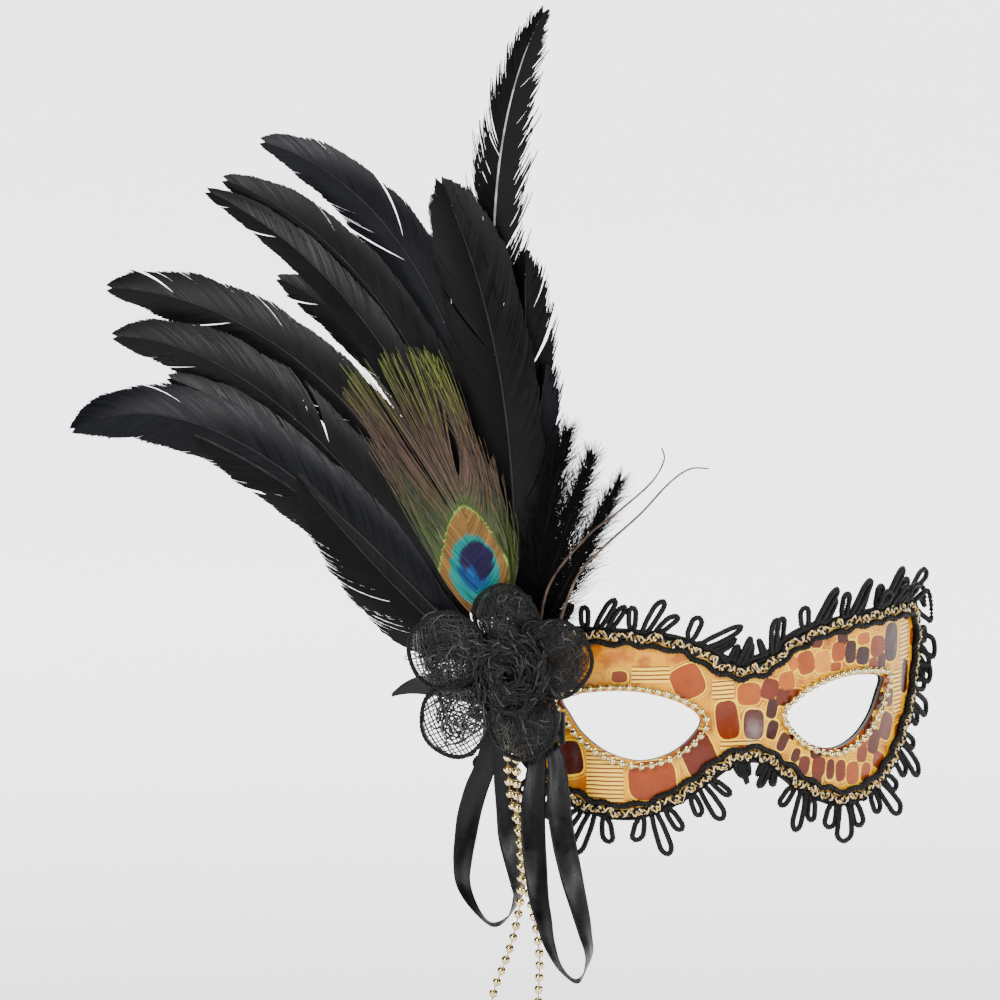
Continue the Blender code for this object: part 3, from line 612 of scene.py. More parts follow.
CORNERS = [(-1, -1), (1, -1), (1, 1), (-1, 1)]
FLOOR_HALF, FLOOR_Z = 40, -0.3
WORLD_LIGHT = 0.06
FLOOR_GLOW = 2.4
HORIZON_GLOW = 3.1
SUN_LIGHT = 3.6
LIGHTS = [
    ("softbox_left", (-1.6, -1.2, 1.2), 0.7, 55),
    ("softbox_right", (1.1, -1.8, 0.5), 0.7, 34),
    ("softbox_back", (0.3, 1.4, 1.5), 1.2, 30),
]


# The mask


def in_loop(points, loop):
    """Which points lie inside a closed loop."""
    x, y = points[:, 0, None], points[:, 1, None]
    a, b = loop, np.roll(loop, -1, 0)
    crosses = (a[:, 1] > y) != (b[:, 1] > y)
    rise = np.where(b[:, 1] == a[:, 1], 1e-12, b[:, 1] - a[:, 1])
    at = a[:, 0] + (y - a[:, 1]) / rise * (b[:, 0] - a[:, 0])
    return (crosses & (x < at)).sum(1) % 2 == 1


def flat_mask(step):
    """The mask flattened: points in (s, z), triangles, and the three edge loops as rows of points."""
    edge = outline(CUT_OUTSET, 620)
    holes = [eye_outline(side, 0, 190) for side in (-1, 1)]
    s, z = np.meshgrid(np.arange(-96, 96, step), np.arange(-40, 31, step * 0.87))
    s[::2] += step / 2
    inner = np.stack([s.ravel(), z.ravel()], -1) * MM
    close = min(0.45, step * 0.55) * MM
    keep = in_loop(inner, pushed_out(edge, -close))
    for hole in holes:
        keep &= ~in_loop(inner, pushed_out(hole, close))
    loops, points, start = [], [inner[keep]], int(keep.sum())
    for loop in (edge, *holes):
        loops.append(np.arange(start, start + len(loop)))
        points.append(loop)
        start += len(loop)
    points = np.concatenate(points)
    edges = [(int(a), int(b)) for loop in loops for a, b in zip(loop, np.roll(loop, -1))]
    made = delaunay_2d_cdt([tuple(p * 1000) for p in points], edges, [], 0, 1e-5)
    verts = np.array([tuple(v) for v in made[0]]) / 1000
    tris = np.array(made[2])
    middle = verts[tris].mean(1)
    good = in_loop(middle, edge)
    for hole in holes:
        good &= ~in_loop(middle, hole)
    tris = tris[good]
    a, b, c = (verts[tris[:, k]] for k in range(3))
    turned = np.cross(b - a, c - a) < 0
    tris[turned] = tris[turned][:, ::-1]
    return verts, tris, [edge, *holes]


def mask_layer(name, flat, lifts, finish, node, fields=None):
    """A layer of the mask between two lifts, with walls round its edge and its eye holes."""
    verts, tris, loops = flat
    low, high = lifts
    parts = [(on_mask(verts, high), tris), (on_mask(verts, low), tris[:, ::-1])]
    uv = [verts, verts]
    for k, loop in enumerate(loops):
        rows = []
        bulge = min(0.25 * MM, (high - low) / 2)
        for t in np.linspace(0, 1, 5):
            out = bulge * math.sin(math.pi * t) * (1 if k == 0 else -1)
            rows.append(on_mask(pushed_out(loop, out), low + (high - low) * t))
            uv.append(loop)
        wall = grid_faces(5, len(loop), True)
        wall = wall if k else wall[:, ::-1]
        parts.append((np.concatenate(rows), np.concatenate([wall[:, [0, 1, 2]], wall[:, [0, 2, 3]]])))
    uv = np.concatenate(uv)
    add_mesh(name, joined(parts), finish, node, uv=uv, fields=fields(uv) if fields else None)


# Scales of the print: centre (s, z) and half size in mm, tone from 0, maroon, to 1, pale, and lean in degrees
SCALES = [
    (-43.6, 11.9, 2.8, 2.1, 0.5, 0), (-20.3, 9.9, 5.6, 6.0, 0.56, -24), (-6.6, -4, 4.1, 6.8, 0.46, -6),
    (-16.5, -16.1, 5.6, 9.2, 0.42, -22), (-32.4, -24.6, 8.2, 6.9, 0.54, -5),
    (-60.3, -17, 4.2, 6.0, 0.24, -12),
    (1.4, 4.6, 4.4, 4.0, 0.66, 0), (2.9, -6.1, 3.9, 5.2, 0.3, 4), (9.1, 5.8, 3.1, 3.5, 0.46, 20),
    (10, -1.2, 2.0, 3.3, 0.16, 12), (9.9, -8.6, 2.1, 3.2, 0.12, 20), (14.0, -13.2, 1.9, 3.2, 0.3, 30),
    (15.9, 8.0, 2.9, 3.2, 0.7, -10), (23.7, 13.8, 3.3, 3.9, 0.6, -12), (18.4, 14.0, 1.9, 2.4, 0.75, -30),
    (31.0, 13.4, 3.4, 3.6, 0.9, -8), (38.2, 16.2, 3.0, 3.2, 0.62, 4), (44.2, 15.4, 2.6, 3.8, 0.14, 4),
    (50.7, 13.2, 3.4, 3.0, 0.08, 8), (51.2, 19.2, 3.3, 2.0, 0.7, 0), (59.4, 15.4, 4.1, 3.6, 0.5, 8),
    (68.7, 15.6, 4.4, 6.4, 0.1, 3), (79.7, 1.8, 2.8, 5.6, 0.12, 8), (64.9, -13.6, 3.9, 4.6, 0.4, 24),
    (57.2, -18.0, 3.2, 4.2, 0.34, 20), (50.2, -21.4, 2.7, 2.8, 0.5, 10), (59.9, -25.0, 3.3, 2.8, 0.5, 24),
    (22.8, -22.4, 2.3, 3.2, 0.4, 14), (29.1, -23.6, 2.8, 3.4, 0.42, 8), (34.4, -25.0, 1.8, 3.4, 0.36, 4),
    (39.2, -26.0, 2.3, 3.6, 0.46, 2), (45.3, -27.6, 3.1, 3.8, 0.62, 0), (52.2, -28.2, 2.4, 3.2, 0.58, 14),
    (36.8, 11.0, 2.5, 1.5, 0.6, 0), (19.4, -18.4, 1.7, 2.4, 0.3, 24), (-2.4, -14.0, 1.4, 1.0, 0.5, 0),
]
# Striped places of the print: centre (s, z) and half size in mm
LADDERS = [
    (-33.0, 12.7, 6.6, 3.0), (-48.5, -23.6, 6.4, 9.5), (-8.0, 6.6, 4.0, 3.6), (-2.5, -12.6, 7.0, 1.8),
    (79.6, 14.9, 4.0, 9.0), (73.4, -2.6, 3.2, 8.2),
]
SMALL_TONES = [0.25, 0.35, 0.4, 0.5, 0.55, 0.65]
TONES = [
    (0.1, (0.03, 0.003, 0.003)), (0.3, (0.055, 0.006, 0.002)), (0.45, (0.13, 0.016, 0.002)),
    (0.55, (0.25, 0.04, 0.003)), (0.64, (0.33, 0.06, 0.003)), (0.8, (0.55, 0.15, 0.005)),
    (0.95, (0.7, 0.28, 0.015)),
]


def print_fields(places):
    """For points (s, z): how far inside a scale (mm, below 0 outside), its colour, and how striped it is."""
    rng = np.random.default_rng(11)
    cells = list(SCALES)
    for row, z in enumerate(np.arange(-36, 30, 6.4)):
        for s in np.arange(-92, 94, 5.6) + (row % 2) * 2.8:
            s, dz = s + rng.uniform(-0.6, 0.6), z + rng.uniform(-0.7, 0.7)
            w, h, tone = rng.uniform(2.35, 2.75), rng.uniform(2.85, 3.3), rng.choice(SMALL_TONES)
            plain = -62 < s < 8
            taken = any(abs(s - c[0]) < c[2] + w * 0.75 and abs(dz - c[1]) < c[3] + h * 0.75 for c in SCALES)
            striped = any(abs(s - c[0]) < c[2] + w * 0.6 and abs(dz - c[1]) < c[3] + h * 0.3 for c in LADDERS)
            if not (plain or taken or striped):
                cells.append((s, dz, w, h, tone, rng.uniform(-8, 8)))
    s, z = places[:, 0] / MM, places[:, 1] / MM
    best, tone = np.full(len(s), -5.0), np.full(len(s), 0.5)
    for cs, cz, w, h, value, lean in cells:
        w, h = (w * 1.08, h * 1.08) if cs > 8 else (w, h)
        near = (np.abs(s - cs) < w + 6) & (np.abs(z - cz) < h + 6)
        cos, sin = math.cos(math.radians(lean)), math.sin(math.radians(lean))
        x, y = s[near] - cs, z[near] - cz
        x, y = x * cos - y * sin, x * sin + y * cos
        q = (np.abs(x / w) ** 3.4 + np.abs(y / h) ** 3.4) ** (1 / 3.4)
        inside = (1 - q) * min(w, h)
        index = np.flatnonzero(near)
        better = inside > best[index]
        best[index[better]] = inside[better]
        tone[index[better]] = value
    levels = np.array([t for t, _ in TONES])
    colours = np.array([c for _, c in TONES])
    tone = np.stack([np.interp(tone, levels, colours[:, k]) for k in range(3)] + [np.ones(len(tone))], -1)
    ladder = np.full(len(s), -1.0)
    for cs, cz, w, h in LADDERS:
        ladder = np.maximum(ladder, np.minimum(w - np.abs(s - cs), h - np.abs(z - cz)))
    return {"scale": best, "tone": tone, "ladder": np.clip(ladder, -1, 1)}


def build_mask():
    fine = flat_mask(0.65)
    coarse = flat_mask(1.6)
    vinyl = (VINYL[0], FRONT_LIFT)
    mask_layer("vinyl_facing", fine, vinyl, snakeskin(), "snakeskin_vinyl", print_fields)
    board = cloth("board_paper", (0.07, 0.06, 0.05), 0.8, 0.8, 0.1)
    mask_layer("board_shell", coarse, (SHELL[0], sum(SHELL)), board, "mask_shell")
    lining = cloth("lining_knit", (0.005, 0.005, 0.006), 0.85, 0.5, 0.15, 0.06)
    mask_layer("lining_cloth", coarse, LINING, lining, "face_lining")


class Edge:
    """The closed outline as a place to lay trims: (at, out, lift) are along it, outwards and off the face."""

    def __init__(self):
        fine = outline(0.0, 4000)
        smooth = normals_of(fine)
        for _ in range(60):
            smooth = unit(smooth + np.roll(smooth, 1, 0) + np.roll(smooth, -1, 0))
        self.fine, self.out = np.vstack([fine, fine[:1]]), np.vstack([smooth, smooth[:1]])
        self.at = lengths(self.fine)
        self.total = self.at[-1]

    def flat(self, at, out):
        at = np.mod(at, self.total)
        return sampled(self.fine, at, self.at) + sampled(self.out, at, self.at) * np.asarray(out)[..., None]

    def points(self, at, out, lift):
        return on_mask(self.flat(at, out), FRONT_LIFT + lift)


def black_cord(name, roughness, light=0.03):
    f = Finish(name, (0.01, 0.01, 0.011), roughness, Sheen_Weight=0.02, Sheen_Roughness=0.4,
               Specular_IOR_Level=0.16)
    place = f.place()
    tone = f.noise(place, 700.0, 3.0, 0.6)
    stops = [(0.3, (0.002, 0.002, 0.002)), (0.6, (0.005, 0.005, 0.005)), (0.78, (light, light, light * 1.05))]
    f.set("Base Color", f.ramp(tone, stops))
    f.bump(f.noise(place, 2400.0, 2.0), 0.12 * MM, 0.8)
    return f.material


def build_edge_trims():
    edge = Edge()
    at = np.linspace(0, edge.total, 2300, endpoint=False)
    wave = 0.5 * np.sin(TAU * at / edge.total * EDGE_WAVES) + 0.35 * ripple(at / MM * 0.45, 3)
    path = edge.points(at, (1.0 + wave) * MM, (1.25 + 0.3 * ripple(at / MM * 0.6, 4)) * MM)
    rope = twisted(path, 1.12 * MM, 3, 4.6 * MM, 6, True, 0.12)
    add_mesh("gimp_rope", rope, black_cord("gimp_thread", 0.5, 0.05), "gimp_cord")
    build_braid(edge)
    build_fringe(edge)


EDGE_WAVES = 46
# The braid's zigzags: kind and radius in mm
ZIGZAGS = [("pale", 0.36), ("gold", 0.34), ("dark", 0.42), ("pale", 0.26), ("dark", 0.4)]


def build_braid(edge):
    """Crocheted lurex: zigzags between edge chains, over a strip of black net."""
    parts = {"pale": [], "gold": [], "dark": []}
    pitch = edge.total / round(edge.total / (3.1 * MM))
    count = round(edge.total / (0.3 * MM))
    at = np.linspace(0, edge.total, count, endpoint=False)
    jitter = ripple(at / MM * 0.8, 21)
    middle = 3.8 + 0.55 * np.sin(TAU * at / edge.total * EDGE_WAVES) + 0.3 * ripple(at / MM * 0.4, 8)
    for k, (kind, radius) in enumerate(ZIGZAGS):
        phase = at / pitch * TAU * (1 if k < 3 else 0.5) + k * TAU / 3
        swing = np.arcsin(np.sin(phase) * 0.98) / (math.pi / 2)
        lift = (1.35 + 0.4 * np.cos(phase * 1.5 + k) + 0.15 * jitter) * MM
        path = edge.points(at, (middle + (1.45 + 0.6 * jitter) * swing) * MM, lift)
        parts[kind].append(strands(path[None], np.full((1, count), radius * MM), 5, OUT + 0.02, True))
    for side, shift, kind in ((-1, -1.6, "gold"), (1, 1.6, "pale"), (1, 1.6, "dark")):
        path = edge.points(at, (middle + shift + 0.5 * jitter) * MM, (1.2 + 0.3 * side + 0.25 * jitter) * MM)
        parts[kind].append(twisted(path, 0.38 * MM, 2, 1.9 * MM, 5, True))
    finishes = {
        "pale": metal("lurex_pale", (0.85, 0.68, 0.4), 0.34, 0.8, 0.1),
        "gold": metal("lurex_gold", (0.7, 0.42, 0.09), 0.3, 0.85, 0.1),
        "dark": black_cord("braid_black", 0.6),
    }
    for kind, made in parts.items():
        add_mesh(f"braid_{kind}", joined(made), finishes[kind], "gold_braid")
    rows = [edge.points(at[::2], (2.4 + 0.9 * k) * MM, (0.3 + 0.1 * (k % 2)) * MM) for k in range(5)]
    net = np.concatenate(rows), grid_faces(5, len(at[::2]), True)
    add_mesh("braid_net", net, finishes["dark"], "gold_braid")


def loop_shape(length, half, lean, curl):
    """Control points of one fringe loop: along, out and lift, in mm."""
    shape = [
        (-0.8, 0, 0), (-0.95, 0.3, 0.2), (-1, 0.6, 0.6), (-0.9, 0.88, 0.9), (0, 1.02, 1),
        (0.9, 0.88, 0.9), (1, 0.6, 0.6), (0.95, 0.3, 0.2), (0.8, 0, 0),
    ]
    sin, cos = length * math.sin(lean), length * math.cos(lean)
    return [(x * half + y * sin, y * cos, up * curl) for x, y, up in shape]


def build_fringe(edge):
    """One cord that swings out into groups of three loops: short, long, short."""
    rng = np.random.default_rng(5)
    total = edge.total / MM
    pitch = total / FRINGE_GROUPS
    route = []
    for group in range(FRINGE_GROUPS):
        centre = (group + 0.82) * pitch + rng.uniform(-0.8, 0.8)
        s, z = edge.flat(np.array([centre * MM]), np.array([0.0]))[0] / MM
        above = z > -2
        nose = abs(s) < 17 and not above
        brow = abs(s) < 12 and above
        scale = 0.55 if nose else 0.8 if brow else 1
        swell = 0.75 if nose else 1.35 if s > 30 else 1
        lean = (24 if above else 2) + rng.uniform(-7, 7)
        # where along the group, length, half width, lean in degrees, curl and lift
        kinds = [
            (-4.6, 7.6, 1.2, (3 if above else -7) + rng.uniform(-6, 6), 1.2, 0.2),
            (-0.4, 12.8, 1.35, lean, 2.4, 0.9),
            (3.6, 8.6 if above else 7.6, 1.15, (26 if above else 7) + rng.uniform(-7, 7), 1.0, 0.1),
        ]
        if s > 56 and above:
            kinds.insert(1, (-2.8, 6.2, 1.7, rng.uniform(-10, 25), 2.6, 1.6))
            kinds.append((6.6, 6.6, 1.7, rng.uniform(-5, 30), 2.2, 1.2))
        for offset, length, half, turn, curl, lift in kinds:
            length *= scale * rng.uniform(0.9, 1.1)
            half *= rng.uniform(0.88, 1.15) * swell
            start = centre + offset * (0.8 if nose else 1)
            for x, y, up in loop_shape(length, half, math.radians(turn), curl * rng.uniform(0.5, 1.4)):
                route.append((start + x, 5.7 + y * (length + 0.3) / length, 0.45 + lift * min(1, y / 3) + up))
    route = smooth_route(route, 14, True)
    count = round(lengths(np.vstack([route, route[:1]]))[-1] / 0.4)
    route = evenly(route, count, True) * MM
    cord = twisted(edge.points(*route.T), 1.08 * MM, 3, 2.9 * MM, 5, True)
    add_mesh("fringe_cord", cord, black_cord("fringe_thread", 0.45, 0.016), "loop_fringe")


FRINGE_GROUPS = 25


def build_pearls():
    gold = metal("pearl_gold", (0.8, 0.66, 0.31), 0.22, 0.9, 0.4)
    rng = np.random.default_rng(3)
    for name, side in (("left", -1), ("right", 1)):
        route = eye_outline(side, 1.5 * MM, 1200)
        around = lengths(np.vstack([route, route[:1]]))[-1]
        count = round(around / (3.35 * MM))
        places = evenly(route, count, True) + rng.normal(0, 0.06 * MM, (count, 2))
        radii = 1.32 * MM * rng.uniform(0.96, 1.03, count)
        pearls = balls(on_mask(places, FRONT_LIFT + 1.45 * MM), radii, 9, 14)
        thread = on_mask(evenly(route, 400, True), FRONT_LIFT + 1.2 * MM)
        chain = twisted(thread, 0.5 * MM, 2, 1.4 * MM, 5, True)
        add_mesh(f"pearls_{name}", joined([pearls, chain]), gold, f"eye_pearls_{name}")


# Feathers


def feather_axis(tip, bend, late, steps=60):
    """The shaft in (a, z): it leaves the core's rim and turns more and more towards its tip."""
    tip = np.array(tip) * MM
    t = (np.arange(steps) + 0.5) / steps
    heading = np.radians(bend) * t**late
    shape = np.vstack([[0, 0], np.cumsum(np.stack([-np.sin(heading), np.cos(heading)], -1), 0)])

    def turn_of(v):
        return math.atan2(-v[0], v[1])

    start = turn_of(tip - CORE) - turn_of(shape[-1])
    root = CORE + np.array([-math.sin(start), math.cos(start)]) * (CORE_RADIUS + 0.6 * MM)
    chord = tip - root
    turn = turn_of(chord) - turn_of(shape[-1])
    size = np.linalg.norm(chord) / np.linalg.norm(shape[-1])
    cos, sin = math.cos(turn), math.sin(turn)
    return root + size * shape @ np.array([[cos, sin], [-sin, cos]])


def vane_share(q, bare, blunt):
    t = np.clip((q - bare) / (1 - bare), 0, 1)
    return np.minimum(1, (t / 0.3) ** 0.7) * np.maximum(0, 1 - t**blunt) ** 0.6


def splits_of(rng, count, bare):
    draw = rng.uniform
    return [(draw(bare + 0.15, 0.97), draw(1, 3), draw(0.012, 0.03)) for _ in range(count)]


def walked(turned, step, rooted=True):
    """How far ahead and aside lines come that take equal steps along turning headings."""
    gone = [np.cumsum(part(turned) * step, 1) for part in (np.cos, np.sin)]
    if rooted:
        gone = [np.concatenate([np.zeros((len(way), 1)), way[:, :-1]], 1) for way in gone]
    return gone


def loose_barbs(axis, q, side, turned, step, rooted):
    """Free barbs in (a, z) from places q along a shaft's axis."""
    heading = unit(np.gradient(axis, axis=0))
    start, forward = sampled(axis, q * AXIS_LAST), sampled(heading, q * AXIS_LAST)
    across = np.stack([forward[:, 1], -forward[:, 0]], -1) * side[:, None]
    ahead, aside = walked(turned, step, rooted)
    return start[:, None] + forward[:, None] * ahead[..., None] + across[:, None] * aside[..., None]


AXIS_LAST = 199


def add_feather(name, tip, bend, late, width, depth, finish, shaft, seed, bare=0.1, blunt=7, roll=0.0,
                cup=0.12, lean=(34, 20), splits=1, ragged=0.012, shares=(0.5, 0.5), shaft_wide=0.45, soft=0):
    """A feather as a tapered shaft and many flat barbs on each side, that part here and there."""
    rng = np.random.default_rng(seed)
    axis = evenly(feather_axis(tip, bend, late), AXIS_LAST + 1)
    long = lengths(axis)[-1]
    heading = unit(np.gradient(axis, axis=0))
    width = width * MM
    pitch = 0.42 * MM / long
    parts = []
    for side, share in ((-1, shares[0]), (1, shares[1])):
        q = np.arange(bare, 0.985, pitch)
        q = q + rng.normal(0, 0.15 * pitch, len(q))
        angle = np.radians(lean[0] + (lean[1] - lean[0]) * q**0.8)
        for at, size, spread in splits_of(rng, splits, bare):
            angle -= np.radians(size) * np.sign(q - at) * np.exp(-np.abs(q - at) / spread)
        angle += np.radians(rng.normal(0, 0.5, len(q)))
        # a barb ends where the vane's outline is, further along than where it starts
        grid = np.linspace(0, 1, 500)
        slope = np.tan(np.radians(lean[0] + (lean[1] - lean[0]) * grid**0.8) * 0.85)
        begins = grid - width * share * vane_share(grid, bare * 0.8, blunt) / slope / long
        out_q = np.interp(q, np.maximum.accumulate(begins), grid)
        half = width * share * vane_share(out_q, bare * 0.8, blunt)
        half = half * (1 + ragged * rng.normal(0, 1, len(q))) * (1 + 0.05 * ripple(q * 40, seed + side))
        half = np.maximum(half, 0.3 * MM)
        t = np.linspace(0, 1, 8)[None]
        # barbs leave the shaft steeply, bend towards the tip and follow the shaft's own bend
        bent = angle[:, None] * (1.3 - 0.9 * t**1.5)
        step = (half / np.mean(np.sin(bent), 1))[:, None] / 7
        ahead, aside = walked(bent, step)
        at = np.clip(q, 0, 1)[:, None] * AXIS_LAST + ahead / long * AXIS_LAST
        over = np.maximum(0, at - AXIS_LAST) / AXIS_LAST * long
        at = np.clip(at, 0, AXIS_LAST)
        forward = sampled(heading, at)
        across = np.stack([forward[..., 1], -forward[..., 0]], -1) * side
        flat = sampled(axis, at) + across * aside[..., None] + forward * over[..., None]
        rel = aside / (width * 0.5)
        drop = cup * width * rel**2 * (0.6 + 0.4 * np.cos(q * 5 + seed))[:, None]
        wave = 0.5 * MM * rel * ripple(q * 9, seed + 5)[:, None]
        paths = swept(flat, depth + np.tan(math.radians(roll)) * aside * side - drop + wave)
        taper = (1 - 0.55 * t**3) * np.minimum(1, 0.55 + 6 * t)
        parts.append(tilted_strips(paths, 0.6 * MM * taper * np.ones((len(q), 1)), math.radians(16) * side))
    add_mesh(f"{name}_vane", joined(parts), finish, name)
    q = np.linspace(0, 0.93, 186)
    path = swept(axis[:186], depth + 0.25 * MM)
    radii = (shaft_wide * (1 - q) ** 0.7 + 0.1) * MM
    add_mesh(f"{name}_shaft", strands(path[None], radii[None], 6), shaft, name)
    if soft:
        add_down(name, axis, depth, finish, seed, soft, bare)


def add_down(name, axis, depth, finish, seed, count, bare):
    """Loose downy barbs near the foot of a feather."""
    rng = np.random.default_rng(seed + 50)
    t = np.linspace(0, 1, 9)
    q = rng.uniform(0.03, bare + 0.12, count)
    side = rng.choice([-1, 1], count)
    reach = rng.uniform(6, 15, count) * MM
    angle = np.radians(rng.uniform(35, 80, count))
    bend = np.radians(rng.uniform(-40, 40, count))
    flat = loose_barbs(axis, q, side, angle[:, None] + bend[:, None] * t, reach[:, None] / 8, False)
    paths = swept(flat, depth + rng.uniform(-1.5, 1.5, count)[:, None] * MM * t)
    radii = 0.09 * MM * (1 - 0.75 * t) * np.ones((count, 1))
    add_mesh(f"{name}_down", strands(paths, radii, 3), finish, name)


FEATHER_FIRST = 5.3 * MM
FEATHER_PITCH = 0.7 * MM
# Feathers from back to front: name, tip (a, z) in mm, bend, how late it bends, width in mm and its looks
FEATHERS = [
    ("feather_top_hackle", (-2.6, 245), -34, 4, 19,
     dict(ragged=0.16, splits=12, lean=(34, 26), shaft_wide=0.75, blunt=5, cup=0.04, shaft="pale")),
    ("feather_back_centre", (-6, 161), 4, 2, 19, dict(ragged=0.08, splits=5, roll=-12)),
    ("feather_back_right", (3.5, 122), -2, 2, 13, dict(ragged=0.1, splits=5, roll=-10)),
    ("feather_left_inner", (-98.5, 146), 60, 1.6, 20, dict(roll=10)),
    ("feather_upper_second", (-121, 179), 64, 1.8, 20, dict(roll=14)),
    ("feather_upper_left", (-107, 193), 74, 2.2, 23, dict(roll=16)),
    ("feather_upper_slim", (-127, 175), 56, 1.6, 13, dict(roll=-8, splits=4)),
    ("feather_left_high", (-163.5, 138.5), 68, 1.6, 23, dict(roll=12)),
    ("feather_left_point", (-138.5, 109.5), 34, 1.6, 15, dict(roll=6, splits=4)),
    ("feather_left_middle", (-160, 122), 56, 2.6, 23, dict(roll=14)),
    ("feather_low_inner", (-127.5, 90), 26, 2, 19, dict(roll=-6)),
    ("feather_left_low", (-174.5, 88), 74, 3, 24, dict(roll=10, soft=30, splits=0)),
    ("feather_lowest", (-86, 79), -12, 1, 31, dict(roll=-8, soft=90, splits=0, blunt=4, cup=0.2)),
    ("feather_centre", (-36, 185), 32, 1.6, 26,
     dict(roll=-9, blunt=14, splits=2, cup=0.2, shares=(0.58, 0.42))),
]
TUFT = [
    ("tuft_hackle_left", (15, 100), 0, 2, 15),
    ("tuft_hackle_middle", (24.5, 92), 0, 2, 14),
    ("tuft_hackle_right", (35.5, 84), 0, 2, 12),
]
QUILLS = [
    ("curved_quill_short", [(6, 20), (10, 45), (23, 63), (36, 74), (47, 84), (51.5, 92), (50.5, 96.5)]),
    ("curved_quill_long", [(9, 16), (20, 48), (29, 59.5), (43.5, 73), (53.5, 84), (61, 89.5), (68, 90)]),
]


def build_feathers():
    black = feather_black("feather_silk", 0.4, 0.006)
    blue = feather_black("feather_silk_blue", 0.36, 0.008, (0.8, 0.9, 1.5))
    shafts = {"dark": rachis_finish("shaft_dark", 0.012), "pale": rachis_finish("shaft_pale", 0.42)}
    depth = FEATHER_FIRST
    for k, (name, tip, bend, late, width, looks) in enumerate(FEATHERS):
        looks = dict(looks)
        shaft = shafts[looks.pop("shaft", "dark")]
        finish = blue if k % 3 == 2 else black
        add_feather(name, tip, bend, late, width, depth, finish, shaft, 20 + k, **looks)
        depth += FEATHER_PITCH
    wisp = feather_black("tuft_silk", 0.5, 0.003)
    for k, (name, tip, bend, late, width) in enumerate(TUFT):
        add_tuft(name, tip, bend, late, width, depth, wisp, shafts["dark"], 60 + k)
        depth += FEATHER_PITCH
    build_peacock(depth)
    brown = quill_brown()
    for k, (name, points) in enumerate(QUILLS):
        depth += FEATHER_PITCH
        route = evenly(smooth_route(np.array(points) * MM, 12), 120)
        t = np.linspace(0, 1, 120)
        knots = 1 + 0.16 * np.maximum(0, ripple(t * 60, 70 + k))
        path = swept(route, depth + 0.4 * MM * ripple(t * 6, 75 + k))
        stem = strands(path[None], ((0.6 - 0.34 * t) * knots * MM)[None], 8)
        rng = np.random.default_rng(80 + k)
        at = rng.uniform(0.3, 0.98, 46)
        start = along(path, at * lengths(path)[-1])
        ahead = along(path, np.minimum(1, at + 0.03) * lengths(path)[-1]) - start
        away = unit(unit(ahead) + 0.8 * rng.normal(0, 1, (46, 3)))
        t = np.linspace(0, 1, 5)[None, :, None]
        hairs = start[:, None] + away[:, None] * t * rng.uniform(0.6, 2.2, (46, 1, 1)) * MM
        fine = strands(hairs, np.full((46, 5), 0.05 * MM), 3)
        add_mesh(f"{name}_stem", joined([stem, fine]), brown, name)


def add_tuft(name, tip, bend, late, width, depth, finish, shaft, seed):
    """A soft hackle: a thin shaft and fine, loose barbs."""
    rng = np.random.default_rng(seed)
    axis = evenly(feather_axis(tip, bend, late), AXIS_LAST + 1)
    count = 1900
    t = np.linspace(0, 1, 10)
    q = np.sort(rng.uniform(0.12, 0.99, count))
    side = rng.choice([-1, 1], count)
    reach = width * MM * rng.uniform(0.5, 1.7, count) * np.minimum(1, 0.35 + 1.1 * (1 - q))
    angle = np.radians(rng.normal(25, 10, count))
    bend = np.radians(rng.normal(-8, 20, count))
    flat = loose_barbs(axis, q, side, angle[:, None] + bend[:, None] * t, reach[:, None] / 9, True)
    paths = swept(flat, depth + rng.normal(0, 1.6, count)[:, None] * MM * t**1.5)
    radii = 0.14 * MM * (1 - 0.75 * t) * rng.uniform(0.6, 1.3, (count, 1))
    add_mesh(f"{name}_barbs", strands(paths, radii, 3), finish, name)
    radii = np.linspace(0.45, 0.1, len(axis)) * MM
    add_mesh(f"{name}_shaft", strands(swept(axis, depth)[None], radii[None], 5), shaft, name)


PEACOCK_STEM = [(-7, 14), (-13.5, 32), (-17.5, 50), (-19.6, 62), (-22, 75), (-31, 98), (-42, 121)]
# Where the barbs of each side end, in mm: from the shaft's foot round to its tip
PEACOCK_TIPS = {
    -1: [(-48, 84), (-60, 101), (-69, 113), (-63, 119), (-54, 123), (-34, 127)],
    1: [(-5.5, 66), (-10.5, 82), (-20, 98), (-28, 112), (-33.5, 124), (-46, 127)],
}


